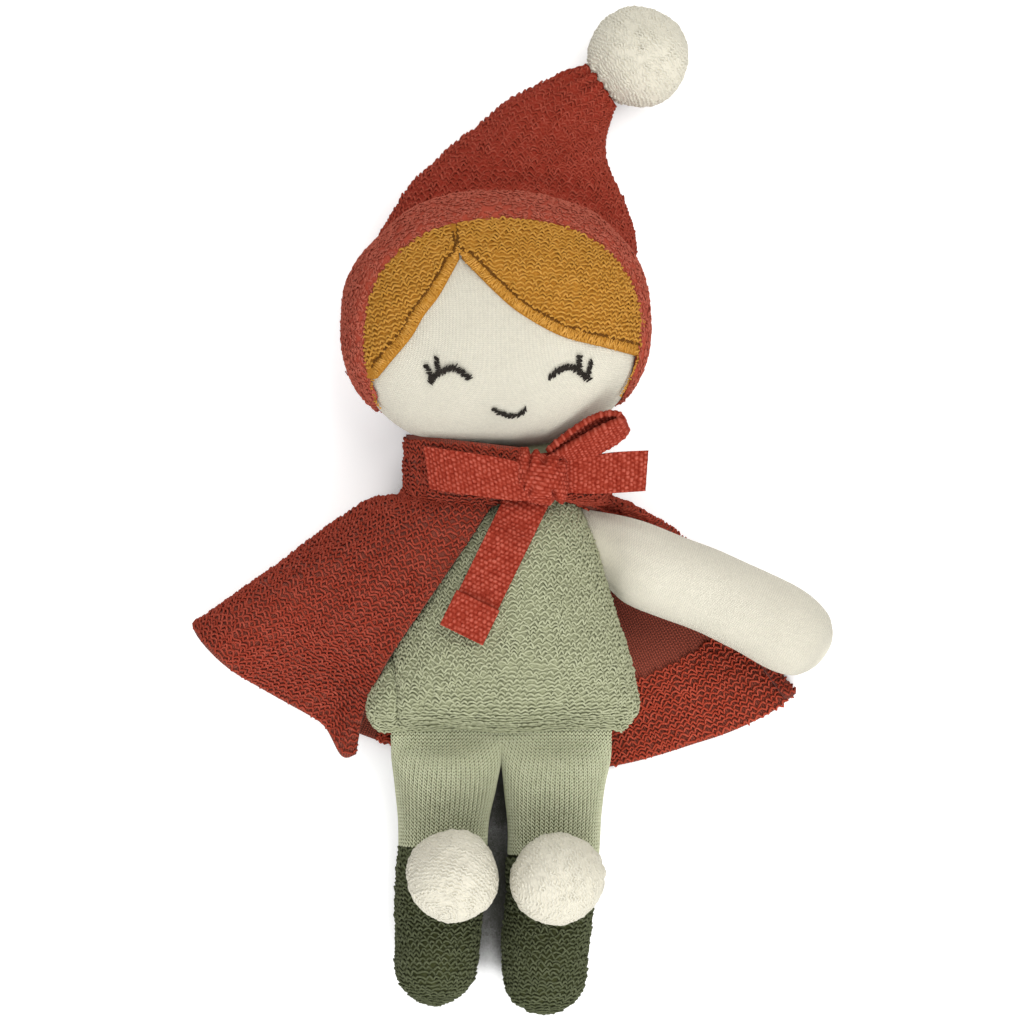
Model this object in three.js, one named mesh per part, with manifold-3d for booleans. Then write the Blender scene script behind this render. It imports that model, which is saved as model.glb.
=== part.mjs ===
import * as THREE from 'three';
import { mergeVertices } from 'three/addons/utils/BufferGeometryUtils.js';
import Module from 'manifold-3d';

// A stuffed elf doll in a hooded cape, lying on its back with its face up.
// X runs to the doll's left, Y towards the tip of its hat, Z up from the surface it lies on.
// The origin is on that surface, under the middle of the torso. All sizes are in millimetres.

// Cloth, tape and the clearances between soft pieces
const CLOTH_THICKNESS = 1.4;
const HAIR_THICKNESS = 1.1;
const SEAT_GAP = 0.3;
const NECK_GAP = 0.5;
const LIMB_GAP = 0.4;
const COLLAR_GAP = 0.9;
const FLAT_DEPTH = 0.5;

// Torso, from the bottom seam to the top of the neck
const TORSO_LENGTH = 64;
const TORSO_BELOW_ORIGIN = 29;
const TORSO_DEPTH = 38;
const TORSO_SEAM_WIDTH = 56;
const TORSO_HEM_WIDTH = 62.4;
const TORSO_MIDDLE_WIDTH = 46;
const TORSO_SHOULDER_WIDTH = 26;
const NECK_WIDTH = 18;
const NECK_DEPTH = 17;
const TORSO_LEAN = 5;

// Head
const HEAD_WIDTH = 66.4;
const HEAD_HEIGHT = 57.4;
const HEAD_DEPTH = 47.8;
const HEAD_ROUNDNESS = 2.3;
const HEAD_SHIFT = -4.4;

// Opening of the hood round the face
const FACE_OPENING_WIDTH = 61.2;
const FACE_OPENING_HEIGHT = 54.4;
const FACE_OPENING_SHIFT = 1.9;
const FACE_OPENING_DROP = 4.6;
const HOOD_LENGTH = 50;

// Hat and its pom
const HAT_LENGTH = 32.6;
const HAT_BASE_WIDTH = 57.5;
const HAT_BASE_DEPTH = 36;
const HAT_TIP_WIDTH = 10.5;
const HAT_TIP_DEPTH = 9.6;
const HAT_BEND = 24.5;
const HAT_SHIFT = 2.9;
const HAT_FOLD_AT = 0.48;
const HAT_BEHIND_HOOD = 9;
const HAT_TIP_BELOW_END = 7;
const HAT_BASE_LIFT = 3;
const HAT_POM_DIAMETER = 23.2;

// Arms
const ARM_LENGTH = 46.6;
const ARM_WIDTH = 19;
const ARM_ROOT_WIDTH = 20.6;
const LEFT_ARM_DROP = 22;
const RIGHT_ARM_DROP = 23.5;
const ARM_SEAM_HEIGHT = 40.8;
const ROOT_THICKNESS = 2.4;

// Legs and boots
const LEG_LENGTH = 26.5;
const LEG_ROOT_WIDTH = 24.8;
const LEG_WIDTH = 21.4;
const LEG_DEPTH = 20.4;
const BOOT_LENGTH = 36.8;
const BOOT_WIDTH = 20;
const LEG_SPACING = LEG_ROOT_WIDTH + LIMB_GAP;
const LEFT_LEG_EXTRA = 2.2;
const FOOT_SHIFT = -3.2;
const BOOT_POM_DIAMETER = 20.8;
const BOOT_POM_SEAT = 2.2;
const BOOT_POM_DROP = 5.8;
const LEFT_POM_RAISE = 1.6;

// Cape: how far it reaches from the bottom seam of the torso and to each side of the origin
const CAPE_BELOW_TORSO = 8.4;
const CAPE_REACH_LEFT = 64.4;
const CAPE_REACH_RIGHT = 73.6;
const CAPE_HEM_WIDTH = 12.5;
const CAPE_CORNER_DROP = 30.5;
const CAPE_LEFT_CORNER_RISE = 17.8;
const CAPE_LEFT_EDGE_RISE = 28;
const COLLAR_WIDTH = 46;
const COLLAR_SHIFT = -2.6;
const CAPE_NECK_LEFT = 18;
const CAPE_NECK_RIGHT = 24;
const COLLAR_HEIGHT = 11.5;
const COLLAR_RISE = 1.9;
const GATHER_DEPTH = 0.5;

// Bow of woven tape at the neck
const TAPE_WIDTH = 9.9;
const TAPE_THICKNESS = 1.2;
const KNOT_WIDTH = 11.6;
const KNOT_HEIGHT = 10.6;
const KNOT_DEPTH = 8.4;
const LOOP_LENGTH = 18;
const LOOP_WIDTH = 8;
const LOOP_DEPTH = 5.6;
const SIDE_TAIL_LENGTH = 20;
const DOWN_TAIL_LENGTH = 34.4;
const DOWN_TAIL_HEM = 9.2;

// Counts that set how fine the surfaces are
const LIMB_SIDES = 20;
const BODY_SIDES = 28;
const POM_SIDES = 18;
const OPENING_SIDES = 40;

// Places that follow from the sizes
const torsoBottom = -TORSO_BELOW_ORIGIN;
const torsoTop = torsoBottom + TORSO_LENGTH;
const torsoMiddle = CLOTH_THICKNESS + SEAT_GAP + TORSO_DEPTH / 2;
const headCentre = new THREE.Vector3(
  HEAD_SHIFT,
  torsoTop + NECK_GAP + HEAD_HEIGHT / 2,
  HEAD_DEPTH / 2 + SEAT_GAP + CLOTH_THICKNESS - FLAT_DEPTH,
);
const hoodThickness = SEAT_GAP + CLOTH_THICKNESS;
const hoodTop = headCentre.y + HEAD_HEIGHT / 2 + hoodThickness;

// Solids that can be joined and cut
const wasm = await Module();
wasm.setup();

function solidOf(geometry) {
  const plain = geometry.clone();
  plain.deleteAttribute('normal');
  plain.deleteAttribute('uv');
  const merged = mergeVertices(plain, 1e-4);
  const mesh = new wasm.Mesh({
    numProp: 3,
    vertProperties: new Float32Array(merged.attributes.position.array),
    triVerts: new Uint32Array(merged.index.array),
  });
  mesh.merge();
  return new wasm.Manifold(mesh);
}

function geometryOf(solid) {
  const mesh = solid.getMesh();
  const geometry = new THREE.BufferGeometry();
  geometry.setAttribute('position', new THREE.BufferAttribute(mesh.vertProperties, 3));
  geometry.setIndex(new THREE.BufferAttribute(mesh.triVerts, 1));
  geometry.computeVertexNormals();
  return geometry;
}

function cut(geometry, ...tools) {
  let solid = solidOf(geometry);
  for (const tool of tools) {
    solid = solid.subtract(solidOf(tool));
  }
  return geometryOf(solid);
}

function common(first, second) {
  return geometryOf(solidOf(first).intersect(solidOf(second)));
}

function join(first, second) {
  return geometryOf(solidOf(first).add(solidOf(second)));
}

// A closed mesh from points and triangles, turned so that its faces point outwards
function closedMesh(points, triangles) {
  let volume = 0;
  for (const [a, b, c] of triangles) {
    volume += points[a].dot(new THREE.Vector3().crossVectors(points[b], points[c]));
  }
  const facing = volume > 0 ? triangles : triangles.map(([a, b, c]) => [a, c, b]);
  const geometry = new THREE.BufferGeometry().setFromPoints(points);
  geometry.setIndex(facing.flat());
  geometry.computeVertexNormals();
  return geometry;
}

// A smooth value between stations, each of which is a list of numbers
function between(stations, place) {
  const last = stations.length - 1;
  const at = Math.min(Math.max(place, 0), 1) * last;
  const index = Math.min(Math.floor(at), last - 1);
  const t = at - index;
  const before = stations[Math.max(index - 1, 0)];
  const start = stations[index];
  const end = stations[index + 1];
  const after = stations[Math.min(index + 2, last)];
  return start.map((value, k) => {
    const slopeIn = (end[k] - before[k]) / 2;
    const slopeOut = (after[k] - value) / 2;
    const rise = end[k] - value;
    const bend = 3 * rise - 2 * slopeIn - slopeOut;
    const twist = slopeIn + slopeOut - 2 * rise;
    return value + slopeIn * t + bend * t * t + twist * t * t * t;
  });
}

function rounded(value, power) {
  return Math.sign(value) * Math.abs(value) ** (2 / power);
}

// A stuffed form: oval sections along a path, closed at both ends.
// A station is x, y, z, the turn of its width from X in degrees, half its width and half its depth.
function stuffedForm(stations, steps, sides, power = 2) {
  const points = [];
  for (let i = 0; i <= steps; i += 1) {
    const [x, y, z, turn, width, depth] = between(stations, i / steps);
    const angle = THREE.MathUtils.degToRad(turn);
    for (let k = 0; k < sides; k += 1) {
      const around = (2 * Math.PI * k) / sides;
      const side = Math.max(width, 0.05) * rounded(Math.cos(around), power);
      const rise = Math.max(depth, 0.05) * rounded(Math.sin(around), power);
      points.push(new THREE.Vector3(x + side * Math.cos(angle), y + side * Math.sin(angle), z + rise));
    }
  }
  const triangles = [];
  for (let i = 0; i < steps; i += 1) {
    for (let k = 0; k < sides; k += 1) {
      const next = (k + 1) % sides;
      const a = i * sides + k;
      const b = i * sides + next;
      triangles.push([a, b, b + sides], [a, b + sides, a + sides]);
    }
  }
  for (const i of [0, steps]) {
    const [x, y, z] = between(stations, i / steps);
    const centre = points.push(new THREE.Vector3(x, y, z)) - 1;
    for (let k = 0; k < sides; k += 1) {
      const a = i * sides + k;
      const b = i * sides + ((k + 1) % sides);
      triangles.push(i === 0 ? [centre, b, a] : [centre, a, b]);
    }
  }
  return closedMesh(points, triangles);
}

// The same stations with room left all round, and past both ends along Y or along the path
function withRoom(stations, room) {
  const grown = stations.map(([x, y, z, turn, width, depth]) => [x, y, z, turn, width + room, depth + room]);
  const pairs = [[0, 1], [grown.length - 1, grown.length - 2]];
  for (const [end, inner] of pairs) {
    const away = new THREE.Vector3(
      stations[end][0] - stations[inner][0],
      stations[end][1] - stations[inner][1],
      stations[end][2] - stations[inner][2],
    ).setLength(room);
    grown[end][0] += away.x;
    grown[end][1] += away.y;
    grown[end][2] += away.z;
  }
  return grown;
}

// A sheet of even thickness: rows of points on its upper face, its lower face set in along the normal
function sheet(rows, thickness) {
  const high = rows.length;
  const wide = rows[0].length;
  const normalAt = (i, k) => {
    const along = rows[Math.min(i + 1, high - 1)][k].clone().sub(rows[Math.max(i - 1, 0)][k]);
    const across = rows[i][Math.min(k + 1, wide - 1)].clone().sub(rows[i][Math.max(k - 1, 0)]);
    return along.cross(across).normalize();
  };
  const points = rows.flat().map((point) => point.clone());
  for (let i = 0; i < high; i += 1) {
    for (let k = 0; k < wide; k += 1) {
      points.push(rows[i][k].clone().addScaledVector(normalAt(i, k), -thickness));
    }
  }
  const lower = high * wide;
  const triangles = [];
  for (let i = 0; i < high - 1; i += 1) {
    for (let k = 0; k < wide - 1; k += 1) {
      const a = i * wide + k;
      const b = a + 1;
      const c = a + wide;
      const d = c + 1;
      triangles.push([a, c, d], [a, d, b]);
      triangles.push([lower + a, lower + d, lower + c], [lower + a, lower + b, lower + d]);
    }
  }
  const edge = [];
  for (let k = 0; k < wide - 1; k += 1) edge.push(k);
  for (let i = 0; i < high - 1; i += 1) edge.push(i * wide + wide - 1);
  for (let k = wide - 1; k > 0; k -= 1) edge.push((high - 1) * wide + k);
  for (let i = high - 1; i > 0; i -= 1) edge.push(i * wide);
  edge.forEach((a, n) => {
    const b = edge[(n + 1) % edge.length];
    triangles.push([a, b, lower + b], [a, lower + b, lower + a]);
  });
  return closedMesh(points, triangles);
}

// A flat piece with a smooth outline, standing between two heights
function slab(outline, low, high, divisions) {
  const curve = new THREE.SplineCurve(outline.map(([x, y]) => new THREE.Vector2(x, y)));
  const points = divisions ? curve.getPoints(divisions) : curve.points;
  const geometry = new THREE.ExtrudeGeometry(new THREE.Shape(points), {
    depth: high - low,
    bevelEnabled: false,
    steps: 1,
  });
  return geometry.translate(0, 0, low);
}

function block(lowX, lowY, lowZ, highX, highY, highZ) {
  const geometry = new THREE.BoxGeometry(highX - lowX, highY - lowY, highZ - lowZ);
  return geometry.translate((lowX + highX) / 2, (lowY + highY) / 2, (lowZ + highZ) / 2);
}

// Room below the surface that the doll lies on
const FAR = 300;
const belowSurface = block(-FAR, -FAR, -FAR, FAR, FAR, 0);

// Torso: a tunic-shaped bag that is flat at its seams and fullest at the belly
function torsoCentreX(y) {
  return TORSO_LEAN * ((y - torsoBottom) / TORSO_LENGTH - 0.6);
}

const torsoStations = [
  [0, TORSO_SEAM_WIDTH, 3],
  [0.03, (TORSO_SEAM_WIDTH + TORSO_HEM_WIDTH) / 2, 11],
  [0.1, TORSO_HEM_WIDTH, TORSO_DEPTH * 0.68],
  [0.25, TORSO_HEM_WIDTH * 0.9, TORSO_DEPTH * 0.95],
  [0.46, TORSO_MIDDLE_WIDTH, TORSO_DEPTH],
  [0.68, (TORSO_MIDDLE_WIDTH + TORSO_SHOULDER_WIDTH) / 2, TORSO_DEPTH * 0.88],
  [0.83, TORSO_SHOULDER_WIDTH, (TORSO_DEPTH * 0.68 + NECK_DEPTH) / 2],
  [0.92, (TORSO_SHOULDER_WIDTH + NECK_WIDTH) / 2, NECK_DEPTH],
  [1, NECK_WIDTH, NECK_DEPTH],
].map(([share, width, depth]) => {
  const y = torsoBottom + TORSO_LENGTH * share;
  return [torsoCentreX(y), y, torsoMiddle, 0, width / 2, depth / 2];
});

function torsoSection(y) {
  const last = torsoStations.length - 1;
  const after = torsoStations.findIndex((station) => station[1] >= y);
  const index = after === -1 ? last : Math.max(after, 1);
  const low = torsoStations[index - 1];
  const high = torsoStations[index];
  const t = THREE.MathUtils.clamp((y - low[1]) / (high[1] - low[1]), 0, 1);
  return low.map((value, k) => value + (high[k] - value) * t);
}

function torsoFront(x, y) {
  const [centreX, , middle, , width, depth] = torsoSection(y);
  const across = Math.min(Math.abs(x - centreX) / width, 1);
  return middle + depth * Math.sqrt(1 - across * across);
}

const torsoRoom = stuffedForm(withRoom(torsoStations, SEAT_GAP), 16, BODY_SIDES);

// Head: a round cushion, wider than it is deep
function headStations(room) {
  const stations = [];
  const count = 14;
  for (let i = 0; i <= count; i += 1) {
    const share = Math.sin(((i / count) * 2 - 1) * Math.PI * 0.49);
    const swell = (1 - Math.abs(share) ** HEAD_ROUNDNESS) ** (1 / HEAD_ROUNDNESS);
    stations.push([
      headCentre.x,
      headCentre.y + (HEAD_HEIGHT / 2 + room) * share,
      headCentre.z,
      0,
      (HEAD_WIDTH / 2 + room) * swell,
      (HEAD_DEPTH / 2 + room) * swell,
    ]);
  }
  return stations;
}

function headForm(room) {
  return stuffedForm(headStations(room), 18, BODY_SIDES, HEAD_ROUNDNESS);
}

// Opening of the hood: an oval that stands in front of the face
const openingX = headCentre.x + FACE_OPENING_SHIFT;
const openingY = headCentre.y - FACE_OPENING_DROP;

function faceOpening(inset) {
  const width = FACE_OPENING_WIDTH / 2 - inset;
  const height = FACE_OPENING_HEIGHT / 2 - inset;
  const outline = [];
  for (let k = 0; k < OPENING_SIDES; k += 1) {
    const around = (2 * Math.PI * k) / OPENING_SIDES;
    outline.push([
      openingX + width * rounded(Math.cos(around), HEAD_ROUNDNESS),
      openingY + height * rounded(Math.sin(around), HEAD_ROUNDNESS),
    ]);
  }
  return slab(outline, headCentre.z, headCentre.z + HEAD_DEPTH, 0);
}

const hoodBottom = hoodTop - HOOD_LENGTH;

function makeHood() {
  const belowHood = block(-FAR, -FAR, -FAR, FAR, hoodBottom, FAR);
  return cut(headForm(hoodThickness), headForm(SEAT_GAP), faceOpening(0), belowHood, belowSurface);
}

// Hair: two cloth locks that meet at the parting and leave the face free below a curved edge
const partingX = openingX - FACE_OPENING_WIDTH * 0.17;
const partingY = openingY + FACE_OPENING_HEIGHT * 0.34;
const hairEnd = openingY - FACE_OPENING_HEIGHT * 0.09;

function faceBelowHair() {
  const shape = new THREE.Shape();
  const half = FACE_OPENING_WIDTH / 2;
  shape.moveTo(partingX, partingY);
  shape.quadraticCurveTo(
    openingX,
    hairEnd + FACE_OPENING_HEIGHT * 0.17,
    openingX + half,
    hairEnd + FACE_OPENING_HEIGHT * 0.06,
  );
  shape.lineTo(openingX + half, openingY - FACE_OPENING_HEIGHT);
  shape.lineTo(openingX - half, openingY - FACE_OPENING_HEIGHT);
  shape.lineTo(openingX - half, hairEnd - FACE_OPENING_HEIGHT * 0.08);
  shape.quadraticCurveTo(openingX - half * 0.62, openingY + FACE_OPENING_HEIGHT * 0.1, partingX, partingY);
  const geometry = new THREE.ExtrudeGeometry(shape, {
    depth: HEAD_DEPTH,
    bevelEnabled: false,
    curveSegments: 8,
    steps: 1,
  });
  return geometry.translate(0, 0, headCentre.z);
}

function makeHair(side) {
  const outer = headForm(SEAT_GAP + HAIR_THICKNESS);
  const otherSide = side > 0
    ? block(-FAR, -FAR, -FAR, partingX + SEAT_GAP / 2, FAR, FAR)
    : block(partingX - SEAT_GAP / 2, -FAR, -FAR, FAR, FAR, FAR);
  return cut(common(outer, faceOpening(SEAT_GAP)), headForm(SEAT_GAP), faceBelowHair(), otherSide);
}

// Hat: a cone that lies behind the forehead and bends over to the doll's left, where the pom is
const hatBaseY = hoodTop - HAT_BEHIND_HOOD;
const hatTipX = headCentre.x + HAT_BEND;
const hatTipY = hoodTop + HAT_LENGTH - HAT_TIP_BELOW_END;
const hatTipZ = HAT_POM_DIAMETER / 2 - FLAT_DEPTH;
const hatBaseZ = HAT_BASE_DEPTH / 2 + HAT_BASE_LIFT;

const hatStations = [0, 0.22, 0.46, 0.68, 0.85, 1].map((share) => {
  const bend = share ** 1.95;
  const width = THREE.MathUtils.lerp(HAT_BASE_WIDTH, HAT_TIP_WIDTH, share ** 1.02);
  const depth = THREE.MathUtils.lerp(HAT_BASE_DEPTH, HAT_TIP_DEPTH, share ** 0.75);
  return [
    headCentre.x + HAT_SHIFT + (HAT_BEND - HAT_SHIFT) * bend,
    THREE.MathUtils.lerp(hatBaseY, hatTipY, share ** 0.92),
    THREE.MathUtils.lerp(hatBaseZ, hatTipZ, share ** 0.7),
    -58 * share ** 3,
    width / 2,
    depth / 2,
  ];
});

const hatFoldY = THREE.MathUtils.lerp(hatBaseY, hatTipY, HAT_FOLD_AT);
const hatPomCentre = new THREE.Vector3(
  hatTipX + HAT_POM_DIAMETER * 0.36,
  hatTipY + HAT_POM_DIAMETER * 0.27,
  hatTipZ,
);

function pom(centre, diameter, room) {
  const ball = new THREE.SphereGeometry(diameter / 2 + room, POM_SIDES, Math.round(POM_SIDES * 0.7));
  return ball.rotateX(Math.PI / 2).translate(centre.x, centre.y, centre.z);
}

function makeHatPart(upper) {
  const whole = stuffedForm(hatStations, 12, BODY_SIDES);
  const away = upper
    ? block(-FAR, -FAR, -FAR, FAR, hatFoldY + SEAT_GAP / 2, FAR)
    : block(-FAR, hatFoldY - SEAT_GAP / 2, -FAR, FAR, FAR, FAR);
  const neighbour = upper
    ? pom(hatPomCentre, HAT_POM_DIAMETER, SEAT_GAP)
    : headForm(hoodThickness + SEAT_GAP);
  return cut(whole, away, neighbour);
}

// Arms: sewn into the side seams of the torso and thin at the seam, so that they lift forwards
function shoulderPoint(side, y, out) {
  const [centreX, , , , width] = torsoSection(y);
  return centreX + side * (width + out);
}

const armY = torsoBottom + ARM_SEAM_HEIGHT;

function seamTurn(side) {
  const rise = ARM_ROOT_WIDTH * 0.4;
  const top = shoulderPoint(side, armY + rise, 0);
  const bottom = shoulderPoint(side, armY - rise, 0);
  return THREE.MathUtils.radToDeg(Math.atan2(2 * rise, top - bottom));
}

function armStations(side) {
  const dropDegrees = side > 0 ? LEFT_ARM_DROP : RIGHT_ARM_DROP;
  const drop = THREE.MathUtils.degToRad(dropDegrees);
  const along = new THREE.Vector2(side * Math.cos(drop), -Math.sin(drop));
  const root = new THREE.Vector2(shoulderPoint(side, armY, LIMB_GAP + 0.6), armY);
  const squareTurn = 90 - side * dropDegrees;
  const handZ = CLOTH_THICKNESS * 2 + SEAT_GAP + ARM_WIDTH / 2;
  const swell = ARM_WIDTH / 2;
  const end = ARM_LENGTH + swell;
  return [
    [0, 0, ARM_ROOT_WIDTH / 2, ROOT_THICKNESS / 2],
    [ARM_LENGTH * 0.047, 0.12, ARM_ROOT_WIDTH / 2, ROOT_THICKNESS * 0.875],
    [ARM_LENGTH * 0.172, 0.55, ARM_ROOT_WIDTH / 2, swell * 0.72],
    [ARM_LENGTH * 0.322, 0.9, swell * 1.02, swell * 0.96],
    [ARM_LENGTH * 0.644, 1, swell * 0.98, swell],
    [ARM_LENGTH, 1, swell, swell],
    [ARM_LENGTH + swell * 0.55, 1, swell * 0.84, swell * 0.84],
    [ARM_LENGTH + swell * 0.88, 1, swell * 0.5, swell * 0.5],
    [end, 1, 0, 0],
  ].map(([distance, squared, width, depth]) => [
    root.x + along.x * distance,
    root.y + along.y * distance,
    THREE.MathUtils.lerp(torsoMiddle, handZ, THREE.MathUtils.smoothstep(distance, 0, ARM_LENGTH)),
    THREE.MathUtils.lerp(seamTurn(side), squareTurn, squared),
    width,
    depth,
  ]);
}

// Room that the left arm sweeps as it lifts about its seam
function raisedLeftArm(degrees, room) {
  const seam = THREE.MathUtils.degToRad(seamTurn(1));
  const axis = new THREE.Vector3(-Math.cos(seam), -Math.sin(seam), 0);
  const pivot = new THREE.Vector3(
    shoulderPoint(1, armY, LIMB_GAP),
    armY,
    torsoMiddle + ROOT_THICKNESS / 2,
  );
  return stuffedForm(withRoom(armStations(1), room), 22, LIMB_SIDES)
    .translate(-pivot.x, -pivot.y, -pivot.z)
    .applyMatrix4(new THREE.Matrix4().makeRotationAxis(axis, THREE.MathUtils.degToRad(degrees)))
    .translate(pivot.x, pivot.y, pivot.z);
}

// Height of the upper face of the covered arm, or zero beside it
function armFront(x, y) {
  let height = 0;
  const stations = withRoom(armStations(-1), FLAP_EASE);
  for (let i = 0; i <= 40; i += 1) {
    const [cx, cy, cz, , width, depth] = between(stations, i / 40);
    const away = Math.hypot(x - cx, y - cy) / Math.max(width, 0.5);
    if (away < 1) height = Math.max(height, cz + depth * Math.sqrt(1 - away * away));
  }
  return height;
}

// Legs and boots: sewn into the bottom seam, thin there, and lying lower towards the feet
const hipY = torsoBottom - LIMB_GAP;
const bootZ = BOOT_WIDTH / 2 - FLAT_DEPTH + 0.4;

function legCentreX(side) {
  return torsoCentreX(torsoBottom) + (side * LEG_SPACING) / 2;
}

function legEnd(side) {
  return hipY - LEG_LENGTH - (side > 0 ? LEFT_LEG_EXTRA : 0);
}

function legStations(side) {
  const x = legCentreX(side);
  const end = legEnd(side);
  const length = hipY - end;
  return [
    [0, LEG_ROOT_WIDTH / 2, ROOT_THICKNESS / 2],
    [0.07, LEG_ROOT_WIDTH / 2, ROOT_THICKNESS / 2 + 0.8],
    [0.24, LEG_ROOT_WIDTH / 2 - 0.2, LEG_DEPTH * 0.31],
    [0.45, (LEG_ROOT_WIDTH + LEG_WIDTH) / 4, LEG_DEPTH * 0.45],
    [0.72, LEG_WIDTH / 2, LEG_DEPTH / 2],
    [1, LEG_WIDTH / 2 - 0.2, LEG_DEPTH / 2 - 0.2],
  ].map(([share, width, depth]) => [
    x + FOOT_SHIFT * 0.3 * share,
    hipY - length * share,
    THREE.MathUtils.lerp(torsoMiddle, bootZ + 1.2, THREE.MathUtils.smoothstep(share, 0, 1)),
    0,
    width,
    depth,
  ]);
}

function bootStations(side) {
  const top = legEnd(side) - SEAT_GAP;
  const legX = legStations(side).at(-1)[0];
  const half = BOOT_WIDTH / 2;
  return [
    [0, LEG_WIDTH / 2 - 0.4, half, 1],
    [0.25, half, half, 0.6],
    [0.5, half, half, 0.2],
    [0.76, half, half + 0.4, 0],
    [0.9, half * 0.84, half * 0.86, 0],
    [0.97, half * 0.52, half * 0.55, 0],
    [1, 0, 0, 0],
  ].map(([share, width, depth, raised]) => [
    legX + FOOT_SHIFT * 0.7 * share,
    top - BOOT_LENGTH * share,
    bootZ + raised * 1.2,
    0,
    width,
    depth,
  ]);
}

function bootPomCentre(side) {
  const leg = legStations(side).at(-1);
  const sideways = side > 0 ? 1.4 : 3;
  const top = leg[2] + leg[5];
  const drop = BOOT_POM_DROP - (side > 0 ? LEFT_POM_RAISE : 0);
  return new THREE.Vector3(leg[0] + sideways, leg[1] - drop, top + BOOT_POM_DIAMETER / 2 - BOOT_POM_SEAT);
}

function makeBootPom(side) {
  const legRoom = stuffedForm(withRoom(legStations(side), SEAT_GAP), 10, LIMB_SIDES);
  const bootRoom = stuffedForm(withRoom(bootStations(side), SEAT_GAP), 10, LIMB_SIDES);
  return cut(pom(bootPomCentre(side), BOOT_POM_DIAMETER, 0), legRoom, bootRoom);
}

// Cape back: the part of the cape that lies on the surface, with its hem turned in on the left
const collarBottom = torsoTop - COLLAR_HEIGHT + COLLAR_RISE;
const capeTop = collarBottom - SEAT_GAP;
const capeBottom = torsoBottom - CAPE_BELOW_TORSO;

const capeOutline = [
  [-CAPE_NECK_RIGHT, capeTop],
  [-CAPE_REACH_RIGHT * 0.46, capeTop - CAPE_CORNER_DROP * 0.11],
  [-CAPE_REACH_RIGHT * 0.72, capeTop - CAPE_CORNER_DROP * 0.51],
  [-CAPE_REACH_RIGHT * 0.93, capeTop - CAPE_CORNER_DROP * 0.87],
  [-CAPE_REACH_RIGHT, capeTop - CAPE_CORNER_DROP],
  [-CAPE_REACH_RIGHT * 0.94, capeBottom + 25],
  [-CAPE_REACH_RIGHT * 0.72, capeBottom + 15],
  [-CAPE_REACH_RIGHT * 0.54, capeBottom + 4.2],
  [-22, capeBottom + 1],
  [CAPE_NECK_LEFT, capeBottom],
  [CAPE_REACH_LEFT * 0.7, capeBottom + 6.6],
  [CAPE_REACH_LEFT, capeBottom + CAPE_LEFT_CORNER_RISE],
  [CAPE_REACH_LEFT * 0.93, capeBottom + CAPE_LEFT_EDGE_RISE],
  [CAPE_REACH_LEFT * 0.62, capeTop - 11],
  [CAPE_REACH_LEFT * 0.4, capeTop - 3.6],
  [CAPE_NECK_LEFT, capeTop],
];

const hemOutline = [
  [CAPE_NECK_LEFT, capeBottom + CAPE_HEM_WIDTH],
  [CAPE_NECK_LEFT, capeBottom],
  [CAPE_REACH_LEFT * 0.7, capeBottom + 6.6],
  [CAPE_REACH_LEFT, capeBottom + CAPE_LEFT_CORNER_RISE],
  [CAPE_REACH_LEFT * 0.93, capeBottom + CAPE_LEFT_EDGE_RISE],
  [CAPE_REACH_LEFT * 0.93 - CAPE_HEM_WIDTH, capeBottom + CAPE_LEFT_EDGE_RISE - 2],
  [CAPE_REACH_LEFT * 0.9 - CAPE_HEM_WIDTH, capeBottom + CAPE_LEFT_EDGE_RISE - 8],
  [CAPE_REACH_LEFT * 0.62, capeBottom + CAPE_HEM_WIDTH + 6.6],
];

function makeCapeBack() {
  const lower = slab(capeOutline, 0, CLOTH_THICKNESS, 48);
  const turnedHem = common(
    slab(hemOutline, 0, CLOTH_THICKNESS * 2, 0),
    slab(capeOutline, 0, CLOTH_THICKNESS * 2, 48),
  );
  return cut(join(lower, turnedHem), torsoRoom);
}

// Collar: the gathered upper edge of the cape, standing round the neck from the knot to the left side
const collarFront = torsoMiddle + TORSO_DEPTH * 0.43;
const collarCentreX = COLLAR_SHIFT;
const collarCentreZ = (collarFront + CLOTH_THICKNESS) / 2;
const collarHalfDepth = (collarFront - CLOTH_THICKNESS) / 2;

function collarPoint(angle, y) {
  return new THREE.Vector3(
    collarCentreX + (COLLAR_WIDTH / 2) * Math.cos(angle),
    y,
    collarCentreZ + collarHalfDepth * Math.sin(angle),
  );
}

function collarTopAt(x) {
  return torsoTop + COLLAR_RISE - 0.12 * (x - collarCentreX);
}

function collarFrontAt(x) {
  const across = THREE.MathUtils.clamp((x - collarCentreX) / (COLLAR_WIDTH / 2), -1, 1);
  return collarCentreZ + collarHalfDepth * Math.sqrt(1 - across * across);
}

function makeCollar() {
  const rows = [];
  const start = THREE.MathUtils.degToRad(84);
  const end = THREE.MathUtils.degToRad(84 + 294);
  for (let i = 0; i <= 4; i += 1) {
    const row = [];
    for (let k = 0; k <= 30; k += 1) {
      const angle = THREE.MathUtils.lerp(start, end, k / 30);
      const x = collarPoint(angle, 0).x;
      const gather = GATHER_DEPTH * Math.sin(angle * 11) * (1 - i / 4);
      const point = collarPoint(angle, THREE.MathUtils.lerp(collarBottom, collarTopAt(x), i / 4));
      point.z += gather * Math.max(Math.sin(angle), 0);
      row.push(point);
    }
    rows.push(row);
  }
  return cut(sheet(rows, -CLOTH_THICKNESS), torsoRoom, knotForm(SEAT_GAP), headForm(COLLAR_GAP));
}

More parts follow.
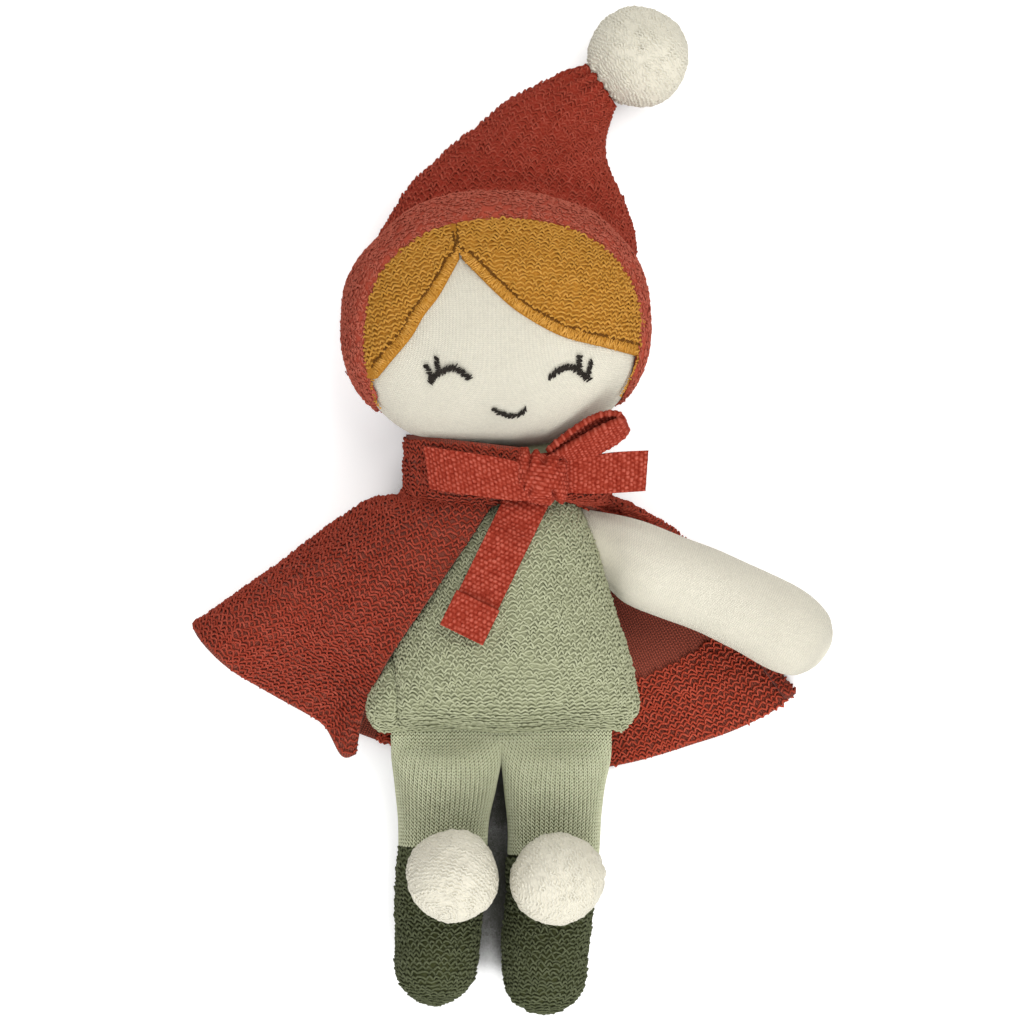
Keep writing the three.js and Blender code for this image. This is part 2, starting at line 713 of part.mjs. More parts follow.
// Right side of the cape: it is drawn over the arm and falls to a point beside the torso
const flapFold = [
  [-27.5, collarBottom - 0.6, 19],
  [-CAPE_REACH_RIGHT * 0.5, capeTop - CAPE_CORNER_DROP * 0.05, 12],
  [-CAPE_REACH_RIGHT * 0.67, capeTop - CAPE_CORNER_DROP * 0.35, 4],
  [-CAPE_REACH_RIGHT * 0.9, capeTop - CAPE_CORNER_DROP * 0.77, 3.4],
  [-CAPE_REACH_RIGHT, capeTop - CAPE_CORNER_DROP * 0.97, 3.4],
];
const flapFront = [
  [-4.8, collarBottom - 1.8, 0],
  [-10.6, collarBottom - 10.8, 0],
  [-19.6, torsoBottom + TORSO_LENGTH * 0.475, 0],
  [-28.6, torsoBottom + TORSO_LENGTH * 0.269, 0],
  [-34.6, torsoBottom + TORSO_LENGTH * 0.094, 0],
  [-38.8, torsoBottom - TORSO_LENGTH * 0.084, 0],
];
const FLAP_POINT_HEIGHT = 9;
const FLAP_FOLDS = 2.5;
const FLAP_FOLD_DEPTH = 1.1;
const FLAP_EASE = 2.8;
const FLAP_SAG = 4.6;

function makeFlap() {
  const high = 14;
  const wide = 14;
  const clearance = SEAT_GAP + CLOTH_THICKNESS + 0.35;
  const rows = [];
  for (let i = 0; i <= high; i += 1) {
    const v = i / high;
    const outer = between(flapFold, v);
    const inner = between(flapFront, v);
    const hang = THREE.MathUtils.smoothstep(v, 0.62, 1);
    const innerZ = THREE.MathUtils.lerp(torsoFront(inner[0], inner[1]) + clearance, FLAP_POINT_HEIGHT, hang);
    const row = [];
    for (let k = 0; k <= wide; k += 1) {
      const u = k / wide;
      const sag = FLAP_SAG * v * 6.75 * u * (1 - u) ** 2;
      const x = THREE.MathUtils.lerp(outer[0], inner[0], u);
      const y = THREE.MathUtils.lerp(outer[1], inner[1], u) - sag;
      const rise = Math.sin((u * Math.PI) / 2) ** 0.55;
      const wave = FLAP_FOLD_DEPTH * v * Math.sin(u * Math.PI * 2 * FLAP_FOLDS) * Math.min(4 * u * (1 - u), 1);
      const base = THREE.MathUtils.lerp(outer[2], innerZ, rise) + wave;
      const overArm = armFront(x, y) + clearance;
      const overTorso = u > 0.3 && v < 0.8 ? torsoFrontBeside(x, y) + clearance : 0;
      row.push(new THREE.Vector3(x, y, Math.max(base, overArm, overTorso)));
    }
    rows.push(row);
  }
  settle(rows, 3);
  const armRoom = stuffedForm(withRoom(armStations(-1), SEAT_GAP), 22, LIMB_SIDES);
  const cloth = sheet(rows, CLOTH_THICKNESS);
  const capeRoom = slab(capeOutline, -1, CLOTH_THICKNESS + SEAT_GAP, 48);
  return cut(cloth, armRoom, torsoRoom, collarRoom(), capeRoom);
}

function torsoFrontBeside(x, y) {
  const [centreX, , , , width] = torsoSection(y);
  const inside = Math.abs(x - centreX) < width && y > torsoBottom && y < torsoTop;
  return inside ? torsoFront(x, y) : 0;
}

// Draws the cloth up into even slopes without letting it sink
function settle(rows, passes) {
  for (let pass = 0; pass < passes; pass += 1) {
    for (let i = 1; i < rows.length - 1; i += 1) {
      for (let k = 1; k < rows[i].length - 1; k += 1) {
        const beside = rows[i][k - 1].z + rows[i][k + 1].z + rows[i - 1][k].z + rows[i + 1][k].z;
        rows[i][k].z = Math.max(rows[i][k].z, beside / 4);
      }
    }
  }
}

// Room kept free for the collar, down to its lower edge
function collarRoom() {
  return block(-FAR, collarBottom - SEAT_GAP, -FAR, FAR, FAR, FAR);
}

// Left shoulder of the cape: its front edge runs from the bow behind the arm down to the surface
function makeCapeShoulder() {
  const reach = CAPE_REACH_LEFT;
  const stations = [
    [12.8, capeTop - 0.4, collarFront - 7.2, 62, 2.6, 1.3],
    [reach * 0.31, capeTop - 1.3, collarFront - 11, 66, 3.2, 1.4],
    [reach * 0.42, capeTop - 4.2, collarFront - 18, 70, 3.6, 1.4],
    [reach * 0.52, capeTop - 7, collarFront - 26.5, 66, 3.6, 1.4],
    [reach * 0.6, capeTop - 10.6, CLOTH_THICKNESS + SEAT_GAP + 2.2, 60, 3.2, 1.4],
  ];
  const sweep = [0, 18, 36, 54].map((degrees) => raisedLeftArm(degrees, SEAT_GAP * 2));
  const capeRoom = slab(capeOutline, -1, CLOTH_THICKNESS + SEAT_GAP, 48);
  return cut(stuffedForm(stations, 12, 12), ...sweep, torsoRoom, capeRoom, collarRoom());
}

// Bow: band, knot, loop and two tails of the same tape
const knotCentre = new THREE.Vector3(5.8, torsoTop - 5.9, collarFrontAt(5.8) - 0.2);

function knotForm(room) {
  const count = 8;
  const stations = [];
  for (let i = 0; i <= count; i += 1) {
    const share = Math.sin(((i / count) * 2 - 1) * Math.PI * 0.49);
    const swell = Math.sqrt(1 - share * share);
    stations.push([
      knotCentre.x,
      knotCentre.y + (KNOT_HEIGHT / 2 + room) * share,
      knotCentre.z,
      -12,
      (KNOT_WIDTH / 2 + room) * swell,
      (KNOT_DEPTH / 2 + room) * swell,
    ]);
  }
  return stuffedForm(stations, 8, 14, 2.6);
}

function makeKnot() {
  return cut(knotForm(0), torsoRoom, headForm(NECK_GAP));
}

// A length of tape through points given as x, y, z and the turn of its width in the plane
function tape(points, steps, width, thickness, pinch = 0) {
  const rows = [];
  for (let i = 0; i <= steps; i += 1) {
    const [x, y, z, turn] = between(points, i / steps);
    const angle = THREE.MathUtils.degToRad(turn);
    const narrowed = width * (1 - pinch * (1 - THREE.MathUtils.smoothstep(i / steps, 0, 0.35)));
    rows.push([-0.5, 0, 0.5].map((share) => new THREE.Vector3(
      x + narrowed * share * Math.cos(angle),
      y + narrowed * share * Math.sin(angle),
      z,
    )));
  }
  return sheet(rows, thickness);
}

function makeBand() {
  const lift = CLOTH_THICKNESS + GATHER_DEPTH + SEAT_GAP;
  const startX = collarCentreX - COLLAR_WIDTH * 0.37;
  const rows = [];
  const steps = 12;
  for (let i = 0; i <= steps; i += 1) {
    const share = i / steps;
    const x = THREE.MathUtils.lerp(startX, knotCentre.x - KNOT_WIDTH * 0.25, share);
    const y = knotCentre.y + 2.3 * (1 - share);
    const around = Math.acos((x - collarCentreX) / (COLLAR_WIDTH / 2));
    const outward = new THREE.Vector3(Math.cos(around), 0, Math.sin(around));
    const onCollar = collarPoint(around, y).addScaledVector(outward, lift);
    rows.push([-0.5, 0, 0.5].map((part) => onCollar.clone().add(new THREE.Vector3(-part, part * TAPE_WIDTH, 0))));
  }
  return cut(sheet(rows, -TAPE_THICKNESS), knotForm(SEAT_GAP));
}

function makeLoop() {
  const rise = THREE.MathUtils.degToRad(32);
  const along = new THREE.Vector2(Math.cos(rise), Math.sin(rise));
  const turn = 32 + 90;
  const half = LOOP_DEPTH / 2;
  const base = new THREE.Vector3(knotCentre.x + 2.6, knotCentre.y + 2.4, knotCentre.z + 1.6);
  const path = [
    [0, 0.35],
    [0.35, 0.85],
    [0.75, 1],
    [0.95, 0.62],
    [1, 0],
    [0.94, -0.6],
    [0.72, -0.86],
    [0.35, -0.7],
    [0, -0.5],
  ].map(([share, height]) => [
    base.x + along.x * LOOP_LENGTH * share,
    base.y + along.y * LOOP_LENGTH * share,
    base.z + half * height,
    turn,
  ]);
  const ribbon = tape(path, 22, LOOP_WIDTH, TAPE_THICKNESS);
  return cut(ribbon, knotForm(SEAT_GAP), headForm(NECK_GAP));
}

function makeSideTail() {
  const squareAcross = 90;
  const endX = knotCentre.x + KNOT_WIDTH * 0.43 + SIDE_TAIL_LENGTH;
  const start = [knotCentre.x + KNOT_WIDTH * 0.3, knotCentre.y, knotCentre.z - KNOT_DEPTH * 0.19, squareAcross];
  const end = [endX, knotCentre.y + 1.4, knotCentre.z - KNOT_DEPTH * 0.43, squareAcross - 4];
  const middle = start.map((value, k) => (value + end[k]) / 2);
  middle[2] += 0.5;
  return cut(tape([start, middle, end], 8, TAPE_WIDTH * 0.94, TAPE_THICKNESS), knotForm(SEAT_GAP));
}

const downTurn = THREE.MathUtils.degToRad(244);
const downTop = new THREE.Vector2(knotCentre.x - 2.6, knotCentre.y - 4.4);

function downTailStrip(from, to, steps, thickness, lift, width) {
  const across = new THREE.Vector2(-Math.sin(downTurn), Math.cos(downTurn));
  const rows = [];
  for (let i = 0; i <= steps; i += 1) {
    const distance = THREE.MathUtils.lerp(from, to, i / steps);
    const x = downTop.x + Math.cos(downTurn) * distance;
    const y = downTop.y + Math.sin(downTurn) * distance;
    rows.push([-0.5, 0, 0.5].map((share) => {
      const px = x + across.x * share * width;
      const py = y + across.y * share * width;
      const leave = 2.6 * (1 - THREE.MathUtils.smoothstep(distance, 0, 9));
      return new THREE.Vector3(px, py, torsoFront(px, py) + lift + thickness + leave);
    }));
  }
  return sheet(rows, thickness);
}

function makeDownTail() {
  const lift = SEAT_GAP + 0.3;
  const whole = downTailStrip(0, DOWN_TAIL_LENGTH, 14, TAPE_THICKNESS, lift, TAPE_WIDTH);
  const hem = downTailStrip(
    DOWN_TAIL_LENGTH - DOWN_TAIL_HEM,
    DOWN_TAIL_LENGTH,
    5,
    TAPE_THICKNESS,
    lift + TAPE_THICKNESS * 0.7,
    TAPE_WIDTH + 0.6,
  );
  return cut(join(whole, hem), knotForm(SEAT_GAP), torsoRoom);
}

// Colours of the cloths
const RED_TERRY = { color: 0x8f3f2e, roughness: 0.95, metalness: 0 };
const HOOD_PILE = { color: 0x98493a, roughness: 0.97, metalness: 0 };
const TAPE_WEAVE = { color: 0xa24434, roughness: 0.88, metalness: 0 };
const CREAM_JERSEY = { color: 0xe6dfcd, roughness: 0.92, metalness: 0 };
const POM_KNIT = { color: 0xe0dccb, roughness: 0.95, metalness: 0 };
const SAGE_TERRY = { color: 0xa4a587, roughness: 0.95, metalness: 0 };
const SAGE_JERSEY = { color: 0xabac8f, roughness: 0.93, metalness: 0 };
const DARK_TERRY = { color: 0x4b5039, roughness: 0.96, metalness: 0 };
const MUSTARD_TERRY = { color: 0xb27f37, roughness: 0.94, metalness: 0 };

const doll = new THREE.Group();

function add(name, geometry, finish) {
  const mesh = new THREE.Mesh(geometry, new THREE.MeshStandardMaterial(finish));
  mesh.name = name;
  doll.add(mesh);
}

// Head, hair and hat
add('head', headForm(0), CREAM_JERSEY);
add('hood', makeHood(), HOOD_PILE);
add('hair_left', makeHair(1), MUSTARD_TERRY);
add('hair_right', makeHair(-1), MUSTARD_TERRY);
add('hat_cone', makeHatPart(false), RED_TERRY);
add('hat_tip', makeHatPart(true), RED_TERRY);
add('hat_pom', cut(pom(hatPomCentre, HAT_POM_DIAMETER, 0), belowSurface), POM_KNIT);

// Body and limbs
add('torso', stuffedForm(torsoStations, 16, BODY_SIDES), SAGE_TERRY);
for (const [name, side] of [['left', 1], ['right', -1]]) {
  add(`arm_${name}`, cut(stuffedForm(armStations(side), 22, LIMB_SIDES), torsoRoom), CREAM_JERSEY);
  add(`leg_${name}`, stuffedForm(legStations(side), 10, LIMB_SIDES), SAGE_JERSEY);
  add(`boot_${name}`, cut(stuffedForm(bootStations(side), 12, LIMB_SIDES), belowSurface), DARK_TERRY);
  add(`boot_pom_${name}`, makeBootPom(side), POM_KNIT);
}

// Cape
add('cape_back', makeCapeBack(), RED_TERRY);
add('cape_collar', makeCollar(), RED_TERRY);
add('cape_shoulder_left', makeCapeShoulder(), RED_TERRY);
add('cape_flap_right', makeFlap(), RED_TERRY);

// Bow
add('ribbon_band', makeBand(), TAPE_WEAVE);
add('ribbon_knot', makeKnot(), TAPE_WEAVE);
add('ribbon_loop', makeLoop(), TAPE_WEAVE);
add('ribbon_tail_side', makeSideTail(), TAPE_WEAVE);
add('ribbon_tail_down', makeDownTail(), TAPE_WEAVE);

export default doll;
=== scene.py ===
import math

import bpy
import numpy as np
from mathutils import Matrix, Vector, noise


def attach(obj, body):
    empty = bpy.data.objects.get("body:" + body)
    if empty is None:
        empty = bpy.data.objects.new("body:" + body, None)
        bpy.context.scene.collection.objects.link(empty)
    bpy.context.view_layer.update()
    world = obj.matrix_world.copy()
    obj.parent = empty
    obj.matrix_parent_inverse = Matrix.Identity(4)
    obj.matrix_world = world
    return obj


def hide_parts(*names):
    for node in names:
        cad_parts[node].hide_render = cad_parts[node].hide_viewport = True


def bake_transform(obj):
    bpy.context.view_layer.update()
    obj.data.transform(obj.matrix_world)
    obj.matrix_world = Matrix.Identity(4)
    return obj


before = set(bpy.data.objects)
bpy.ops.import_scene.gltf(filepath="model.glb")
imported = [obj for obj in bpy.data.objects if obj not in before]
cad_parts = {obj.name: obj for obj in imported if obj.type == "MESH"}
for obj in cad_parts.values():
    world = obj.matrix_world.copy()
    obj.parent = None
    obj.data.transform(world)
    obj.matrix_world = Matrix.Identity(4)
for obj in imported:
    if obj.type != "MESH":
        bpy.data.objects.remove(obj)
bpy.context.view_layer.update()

# All sizes are in millimetres until a mesh is made. X runs to the doll's left, Y to the tip of its
# hat, Z up from the surface that it lies on.
MM = 0.001
TAU = 2 * math.pi

# Camera: straight above the doll, as far off as a long lens needs
PIXEL = 0.23
PICTURE_WIDTH = 1024
LENS = 200
SENSOR = 36
FOCUS_HEIGHT = 20
CAMERA_X = -0.7
CAMERA_Y = 21.4


def make_camera():
    """A camera straight above the doll, in the frame of the photo."""
    distance = PICTURE_WIDTH * PIXEL * LENS / SENSOR
    lens = bpy.data.cameras.new("camera")
    lens.lens = LENS
    lens.sensor_width = SENSOR
    lens.clip_start = 0.05
    lens.clip_end = 20
    camera = bpy.data.objects.new("camera", lens)
    camera.location = (CAMERA_X * MM, CAMERA_Y * MM, (FOCUS_HEIGHT + distance) * MM)
    bpy.context.scene.collection.objects.link(camera)
    bpy.context.scene.camera = camera


make_camera()

# Smooth forms
THINNEST = 0.05


def spline(keys, places):
    """Smooth values between evenly spaced keys, at places from 0 to 1."""
    keys = np.asarray(keys, float)
    last = len(keys) - 1
    at = np.clip(np.asarray(places, float), 0, 1) * last
    i = np.minimum(at.astype(int), last - 1)
    t = (at - i).reshape((-1,) + (1,) * (keys.ndim - 1))
    before, low = keys[np.maximum(i - 1, 0)], keys[i]
    high, after = keys[i + 1], keys[np.minimum(i + 2, last)]
    slope_in, slope_out, rise = (high - before) / 2, (after - low) / 2, high - low
    bend = 3 * rise - 2 * slope_in - slope_out
    return low + slope_in * t + bend * t**2 + (slope_in + slope_out - 2 * rise) * t**3


def smoothstep(x, low, high):
    """0 below low, 1 above high, and a smooth rise between them."""
    t = np.clip((x - low) / (high - low), 0, 1)
    return t * t * (3 - 2 * t)


def unit(v):
    return v / np.maximum(np.linalg.norm(v, axis=-1, keepdims=True), 1e-9)


def running(line):
    """Length along a line up to each of its points."""
    return np.concatenate([[0], np.cumsum(np.linalg.norm(np.diff(line, axis=0), axis=-1))])


def at_lengths(s, run, values):
    """Values at lengths s of a line whose points lie at lengths run."""
    return np.stack([np.interp(s, run, column) for column in values.T], 1)


def squarer(c, power):
    """A sine or cosine bent from an oval towards a rounded square."""
    return np.sign(c) * np.abs(c) ** (2 / power)


def rings(stations, steps, sides, power=2.0):
    """Oval rings along a path. A station is x, y, z, turn in degrees, half width, half depth."""
    x, y, z, turn, width, depth = spline(stations, np.linspace(0, 1, steps + 1)).T[..., None]
    around = TAU * np.arange(sides) / sides
    across = np.maximum(width, THINNEST) * squarer(np.cos(around), power)
    up = np.maximum(depth, THINNEST) * squarer(np.sin(around), power)
    turn = np.radians(turn)
    return np.stack([x + across * np.cos(turn), y + across * np.sin(turn), z + up], axis=-1)


def facing(p, closed):
    """Normals of a grid of points. On a closed form they point away from its axis."""
    if closed:
        across = np.roll(p, -1, axis=1) - np.roll(p, 1, axis=1)
    else:
        across = np.gradient(p, axis=1)
    n = unit(np.cross(across, np.gradient(p, axis=0)))
    if closed and (n * (p - p.mean(axis=1, keepdims=True))).sum() < 0:
        n = -n
    return n


def facing_up(p, i, k):
    """Normals of an open grid, which point up at one of its points."""
    n = facing(p, False)
    return -n if n[i, k, 2] < 0 else n


def lengths(p, axis):
    """Running mean length of a grid along one axis."""
    step = np.linalg.norm(np.diff(p, axis=axis), axis=-1)
    return np.concatenate([[0], np.cumsum(step.mean(axis=1 - axis))])


def lumps(p, size, height, seed):
    """Slow swells and dents, as stuffing makes them."""
    flat = p.reshape(-1, 3)
    shift = Vector((seed * 7.3, seed * 3.1, seed * 5.7))
    value = [noise.noise(Vector(q / size) + shift) for q in flat]
    return height * np.array(value).reshape(p.shape[:-1] + (1,))


def slow_noise(q, size, seed):
    """Noise that neighbouring points share."""
    shift = Vector((seed * 3.7, seed * 1.3, seed * 2.9))
    return np.array([noise.noise(Vector(point) + shift) for point in q / size])


def rows_at(p, run, distances):
    """Rows of a grid at distances down it."""
    at = np.interp(distances, run, np.arange(len(p)))
    i = np.minimum(at.astype(int), len(p) - 2)
    t = (at - i)[:, None, None]
    return p[i] * (1 - t) + p[i + 1] * t


def even_rings(p, steps):
    """The same form with its rings spaced evenly along it."""
    run = lengths(p, 0)
    return rows_at(p, run, np.linspace(0, run[-1], steps + 1))


# Meshes


def link(name, mesh):
    obj = bpy.data.objects.new(name, mesh)
    bpy.context.scene.collection.objects.link(obj)
    return obj


def mark(mesh, label, values, kind="FLOAT", slot="value"):
    """Keeps values at a mesh's points, as an attribute that materials and trees read."""
    attribute = mesh.attributes.new(label, kind, "POINT")
    attribute.data.foreach_set(slot, np.asarray(values, np.float32).ravel())


def mesh_of(name, points, faces, corners, finish):
    """A smooth mesh with its cloth coordinates, in millimetres, in the map named cloth."""
    mesh = bpy.data.meshes.new(name)
    mesh.from_pydata((np.asarray(points) * MM).tolist(), [], faces)
    cloth = mesh.uv_layers.new(name="cloth")
    cloth.data.foreach_set("uv", np.asarray(corners, np.float32).ravel())
    mesh.polygons.foreach_set("use_smooth", np.ones(len(faces), bool))
    mesh.materials.append(finish)
    mesh.update()
    return link(name, mesh)


def grid_faces(p, n, across, down, round_columns=False, round_rows=False):
    """Faces of a grid of points, turned to face along n, with the cloth coordinates of their corners."""
    high, wide = p.shape[:2]
    rows, columns = np.arange(high - (not round_rows)), np.arange(wide - (not round_columns))
    i, k = (index.ravel() for index in np.meshgrid(rows, columns, indexing="ij"))
    below, after = (i + 1) % high, (k + 1) % wide
    quads = np.stack([i * wide + k, i * wide + after, below * wide + after, below * wide + k], 1)
    places = ((k, i), (k + 1, i), (k + 1, i + 1), (k, i + 1))
    corners = np.stack([np.stack([across[column], down[row]], 1) for column, row in places], 1)
    wound = np.cross(p[i, after] - p[i, k], p[below, k] - p[i, k])
    flipped = (wound * n[i, k]).sum() < 0
    if flipped:
        quads, corners = quads[:, ::-1], corners[:, ::-1]
    return quads, corners, flipped


def stuffed(name, p, finish):
    """A closed form from rings, with a point at each end."""
    high, wide = p.shape[:2]
    down = lengths(p, 0)
    around = np.linalg.norm(np.roll(p, -1, axis=1) - p, axis=-1).sum(axis=1)
    across = np.linspace(0, np.percentile(around, 70), wide + 1)
    quads, corners, flipped = grid_faces(p, facing(p, True), across, down, True)
    points = np.concatenate([p.reshape(-1, 3), p[0].mean(0)[None], p[-1].mean(0)[None]])
    faces, corner_list = quads.tolist(), corners.reshape(-1, 2).tolist()
    for ring, centre in ((0, high * wide), (high - 1, high * wide + 1)):
        for j in range(wide):
            order = [centre, ring * wide + j, ring * wide + (j + 1) % wide]
            place = [[at, down[ring]] for at in ((across[j] + across[j + 1]) / 2, across[j], across[j + 1])]
            if (ring == 0) != flipped:
                order[1:], place[1:] = order[:0:-1], place[:0:-1]
            faces.append(order)
            corner_list += place
    return mesh_of(name, points, faces, corner_list, finish)


def sheet_of(name, p, n, up, down, finish):
    """A closed thin sheet about a grid of points. up and down are its upper and lower offsets."""
    high, wide = p.shape[:2]
    up, down = (np.broadcast_to(offset, (high, wide))[..., None] for offset in (up, down))
    points = np.concatenate([(p + n * up).reshape(-1, 3), (p - n * down).reshape(-1, 3)])
    run_across, run_down = lengths(p, 1), lengths(p, 0)
    quads, corners, _ = grid_faces(p, n, run_across, run_down)
    below = high * wide
    faces = quads.tolist() + (quads[:, ::-1] + below).tolist()
    corner_list = corners.reshape(-1, 2).tolist() + corners[:, ::-1].reshape(-1, 2).tolist()
    border = [(0, k) for k in range(wide)]
    border += [(i, wide - 1) for i in range(1, high)]
    border += [(high - 1, k) for k in range(wide - 2, -1, -1)]
    border += [(i, 0) for i in range(high - 2, 0, -1)]
    corner = quads[0].tolist()
    same_way = corner[(corner.index(0) + 1) % 4] == 1
    for (r, c), (r2, c2) in zip(border, border[1:] + border[:1]):
        a, b = r * wide + c, r2 * wide + c2
        one, two = [run_across[c], run_down[r]], [run_across[c2], run_down[r2]]
        faces.append([b, a, a + below, b + below] if same_way else [a, b, b + below, a + below])
        corner_list += [two, one, one, two] if same_way else [one, two, two, one]
    return mesh_of(name, points, faces, corner_list, finish)


def closed_band(name, p, finish):
    """A mesh from rings that close both ways, as a tube bent into itself."""
    across, down = np.linspace(0, 200, p.shape[1] + 1), np.append(lengths(p, 0), 0)
    quads, corners, _ = grid_faces(p, facing(p, True), across, down, True, True)
    points = p.reshape(-1, 3)
    one, two, three, four = points[quads].transpose(1, 0, 2)
    if (one * (np.cross(two, three) + np.cross(three, four))).sum() < 0:
        quads = quads[:, ::-1]
    return mesh_of(name, points, quads.tolist(), corners[:, :1].repeat(4, axis=1), finish)


# Finishes
KNIT_LEVEL = 0.4


def colour(red, green, blue, factor=1.0):
    """A colour written in the usual 0 to 255 steps."""
    out = []
    for value in (red, green, blue):
        v = min(value * factor, 255) / 255
        out.append(v / 12.92 if v <= 0.04045 else ((v + 0.055) / 1.055) ** 2.4)
    return (*out, 1)


def shifted(base, shift):
    """A colour made lighter or darker by the same amount in all three channels."""
    return colour(*(min(max(channel + shift, 0), 255) for channel in base))


class Nodes:
    """The nodes of a material, of the sky or of a geometry tree, added one by one."""

    def __init__(self, tree):
        self.tree = tree

    def add(self, kind, links=None, **values):
        node = self.tree.nodes.new(kind)
        for key, value in values.items():
            setattr(node, key, value)
        for key, value in (links or {}).items():
            if isinstance(value, bpy.types.NodeSocket):
                self.tree.links.new(value, node.inputs[key])
            else:
                node.inputs[key].default_value = value
        return node

    def math(self, operation, *values):
        return self.add("ShaderNodeMath", dict(enumerate(values)), operation=operation).outputs[0]

    def span(self, value, low, high, to_low=0.0, to_high=1.0):
        """A value carried from one range to another, and held within it."""
        links = {"Value": value, "From Min": low, "From Max": high, "To Min": to_low, "To Max": to_high}
        return self.add("ShaderNodeMapRange", links, clamp=True).outputs["Result"]


class Finish(Nodes):
    """A cloth material. gloss is its specular level."""

    def __init__(self, name, roughness=0.9, sheen=0.0, gloss=0.1):
        self.material = bpy.data.materials.new(name)
        self.material.use_nodes = True
        super().__init__(self.material.node_tree)
        self.shader = self.tree.nodes["Principled BSDF"]
        values = {
            "Roughness": roughness,
            "Specular IOR Level": gloss,
            "Sheen Weight": sheen,
            "Sheen Roughness": 0.5,
        }
        for key, value in values.items():
            self.shader.inputs[key].default_value = value

    def place(self):
        return self.add("ShaderNodeTexCoord").outputs["Object"]

    def attribute(self, name):
        return self.add("ShaderNodeAttribute", attribute_name=name).outputs["Fac"]

    def noise(self, size, detail=3.0, roughness=0.6):
        """Noise whose grains are about size millimetres wide."""
        links = {"Vector": self.place(), "Scale": 1 / MM / size, "Detail": detail, "Roughness": roughness}
        return self.add("ShaderNodeTexNoise", links).outputs["Fac"]

    def ramp(self, factor, stops):
        node = self.add("ShaderNodeValToRGB", {"Fac": factor})
        elements = node.color_ramp.elements
        while len(elements) < len(stops):
            elements.new(0.5)
        for element, (at, value) in zip(elements, stops):
            element.position = at
            element.color = value
        return node.outputs["Color"]

    def tones(self, factor, base, *stops):
        """Darker to lighter tones of one colour. A stop is a place on the ramp and a shift."""
        return self.ramp(factor, [(at, shifted(base, shift)) for at, shift in stops])

    def mix(self, factor, first, second, blend="MIX"):
        links = {0: factor, 6: first, 7: second}
        return self.add("ShaderNodeMix", links, data_type="RGBA", blend_type=blend).outputs[2]

    def relief(self, height, depth, strength=1.0, under=None):
        """Bump of a height from 0 to 1, depth millimetres deep."""
        links = {"Height": height, "Distance": depth * MM, "Strength": strength}
        if under is not None:
            links["Normal"] = under
        return self.add("ShaderNodeBump", links).outputs["Normal"]

    def fibres(self, size=0.12, depth=0.05, under=None):
        return self.relief(self.noise(size, 4, 0.7), depth, 0.6, under)

    def knit(self, wale, course):
        """Columns of V-shaped stitches on the cloth map, as a height from 0 to 1."""
        cloth = self.add("ShaderNodeUVMap", uv_map="cloth").outputs["UV"]
        split = self.add("ShaderNodeSeparateXYZ", {"Vector": cloth}).outputs
        across = self.math("FRACT", self.math("MULTIPLY", split["X"], 1 / wale))
        arm = self.math("ABSOLUTE", self.math("SUBTRACT", across, 0.5))
        along = self.math("MULTIPLY_ADD", arm, 1.3, self.math("MULTIPLY", split["Y"], -1 / course))
        wave = self.math("SINE", self.math("MULTIPLY", along, TAU))
        lobe = self.math("SINE", self.math("MULTIPLY", arm, TAU))
        mixed = self.math("MULTIPLY", self.math("MULTIPLY_ADD", wave, 0.35, 0.65), lobe)
        return self.math("MAXIMUM", mixed, 0.0)

    def dress(self, paint, shape):
        """Gives the shader its colour and relief. The material is finished then."""
        self.tree.links.new(paint, self.shader.inputs["Base Color"])
        self.tree.links.new(shape, self.shader.inputs["Normal"])
        return self.material


def yarn_finish(name, base, spread=18, crest=0.0):
    """Yarn. spread is how far its tone strays, crest how strong the painted highlight on the tops of its
    loops and the painted shade between them are.
    """
    f = Finish(name, 0.95)
    tone = f.math("MULTIPLY_ADD", f.noise(1.7), 0.45, f.math("MULTIPLY", f.noise(0.35, 4, 0.7), 0.55))
    # painted light: the tops of the loops are coloured lighter and the dips between them darker
    if crest > 0:
        top = f.math("ABSOLUTE", f.math("SINE", f.math("MULTIPLY", f.attribute("cycle"), math.pi)))
        tone = f.math("ADD", tone, f.math("MULTIPLY_ADD", top, crest, -0.6 * crest))
    return f.dress(f.tones(tone, base, (0.32, -spread), (0.5, 0), (0.68, spread)), f.fibres())


def backing_finish(name, base, spread=14):
    """The cloth that shows between loops or stitches. Where its base colour is set darker than its yarn's,
    the difference is painted shade in the gaps.
    """
    f = Finish(name, 0.97)
    return f.dress(f.tones(f.noise(0.5, 4, 0.7), base, (0.3, -spread), (0.7, spread)), f.fibres(0.25, 0.12))


def jersey_finish(name, base, wale, course, shade, depth):
    """Fine knitted cloth, with painted shade between its stitches as well as relief. It runs out where the
    attribute pole is 1.
    """
    f = Finish(name, 0.9, 0.06, 0.25)
    knit = f.math("SUBTRACT", f.knit(wale, course), KNIT_LEVEL)
    height = f.math("MULTIPLY_ADD", knit, f.math("SUBTRACT", 1.0, f.attribute("pole")), KNIT_LEVEL)
    # painted shade: the low parts of the knit take the base colour times shade
    paint = f.ramp(height, [(0.05, colour(*base, shade)), (0.6, colour(*base))])
    for grain, low, high, dim in ((9, 0.3, 0.7, 0.975), (0.6, 0.35, 0.65, 0.96)):
        fade = f.ramp(f.noise(grain), [(low, colour(255, 255, 255, dim)), (high, colour(255, 255, 255))])
        paint = f.mix(1.0, paint, fade, "MULTIPLY")
    return f.dress(paint, f.fibres(0.15, 0.03, f.relief(height, depth)))


def tape_finish(name, base):
    """Woven tape. The height of its threads is kept in the attribute weave; low threads are painted darker
    and high ones lighter, as painted shade and painted highlight.
    """
    f = Finish(name)
    grain = f.math("MULTIPLY_ADD", f.noise(0.4, 4, 0.7), 0.42, f.math("MULTIPLY", f.noise(2.2, 2), 0.26))
    tone = f.math("MULTIPLY_ADD", f.attribute("weave"), 0.5, grain)
    # painted shade and highlight: the tone follows the height of the threads
    return f.dress(f.tones(tone, base, (0.26, -44), (0.6, -2), (0.88, 36)), f.fibres(0.2, 0.14))
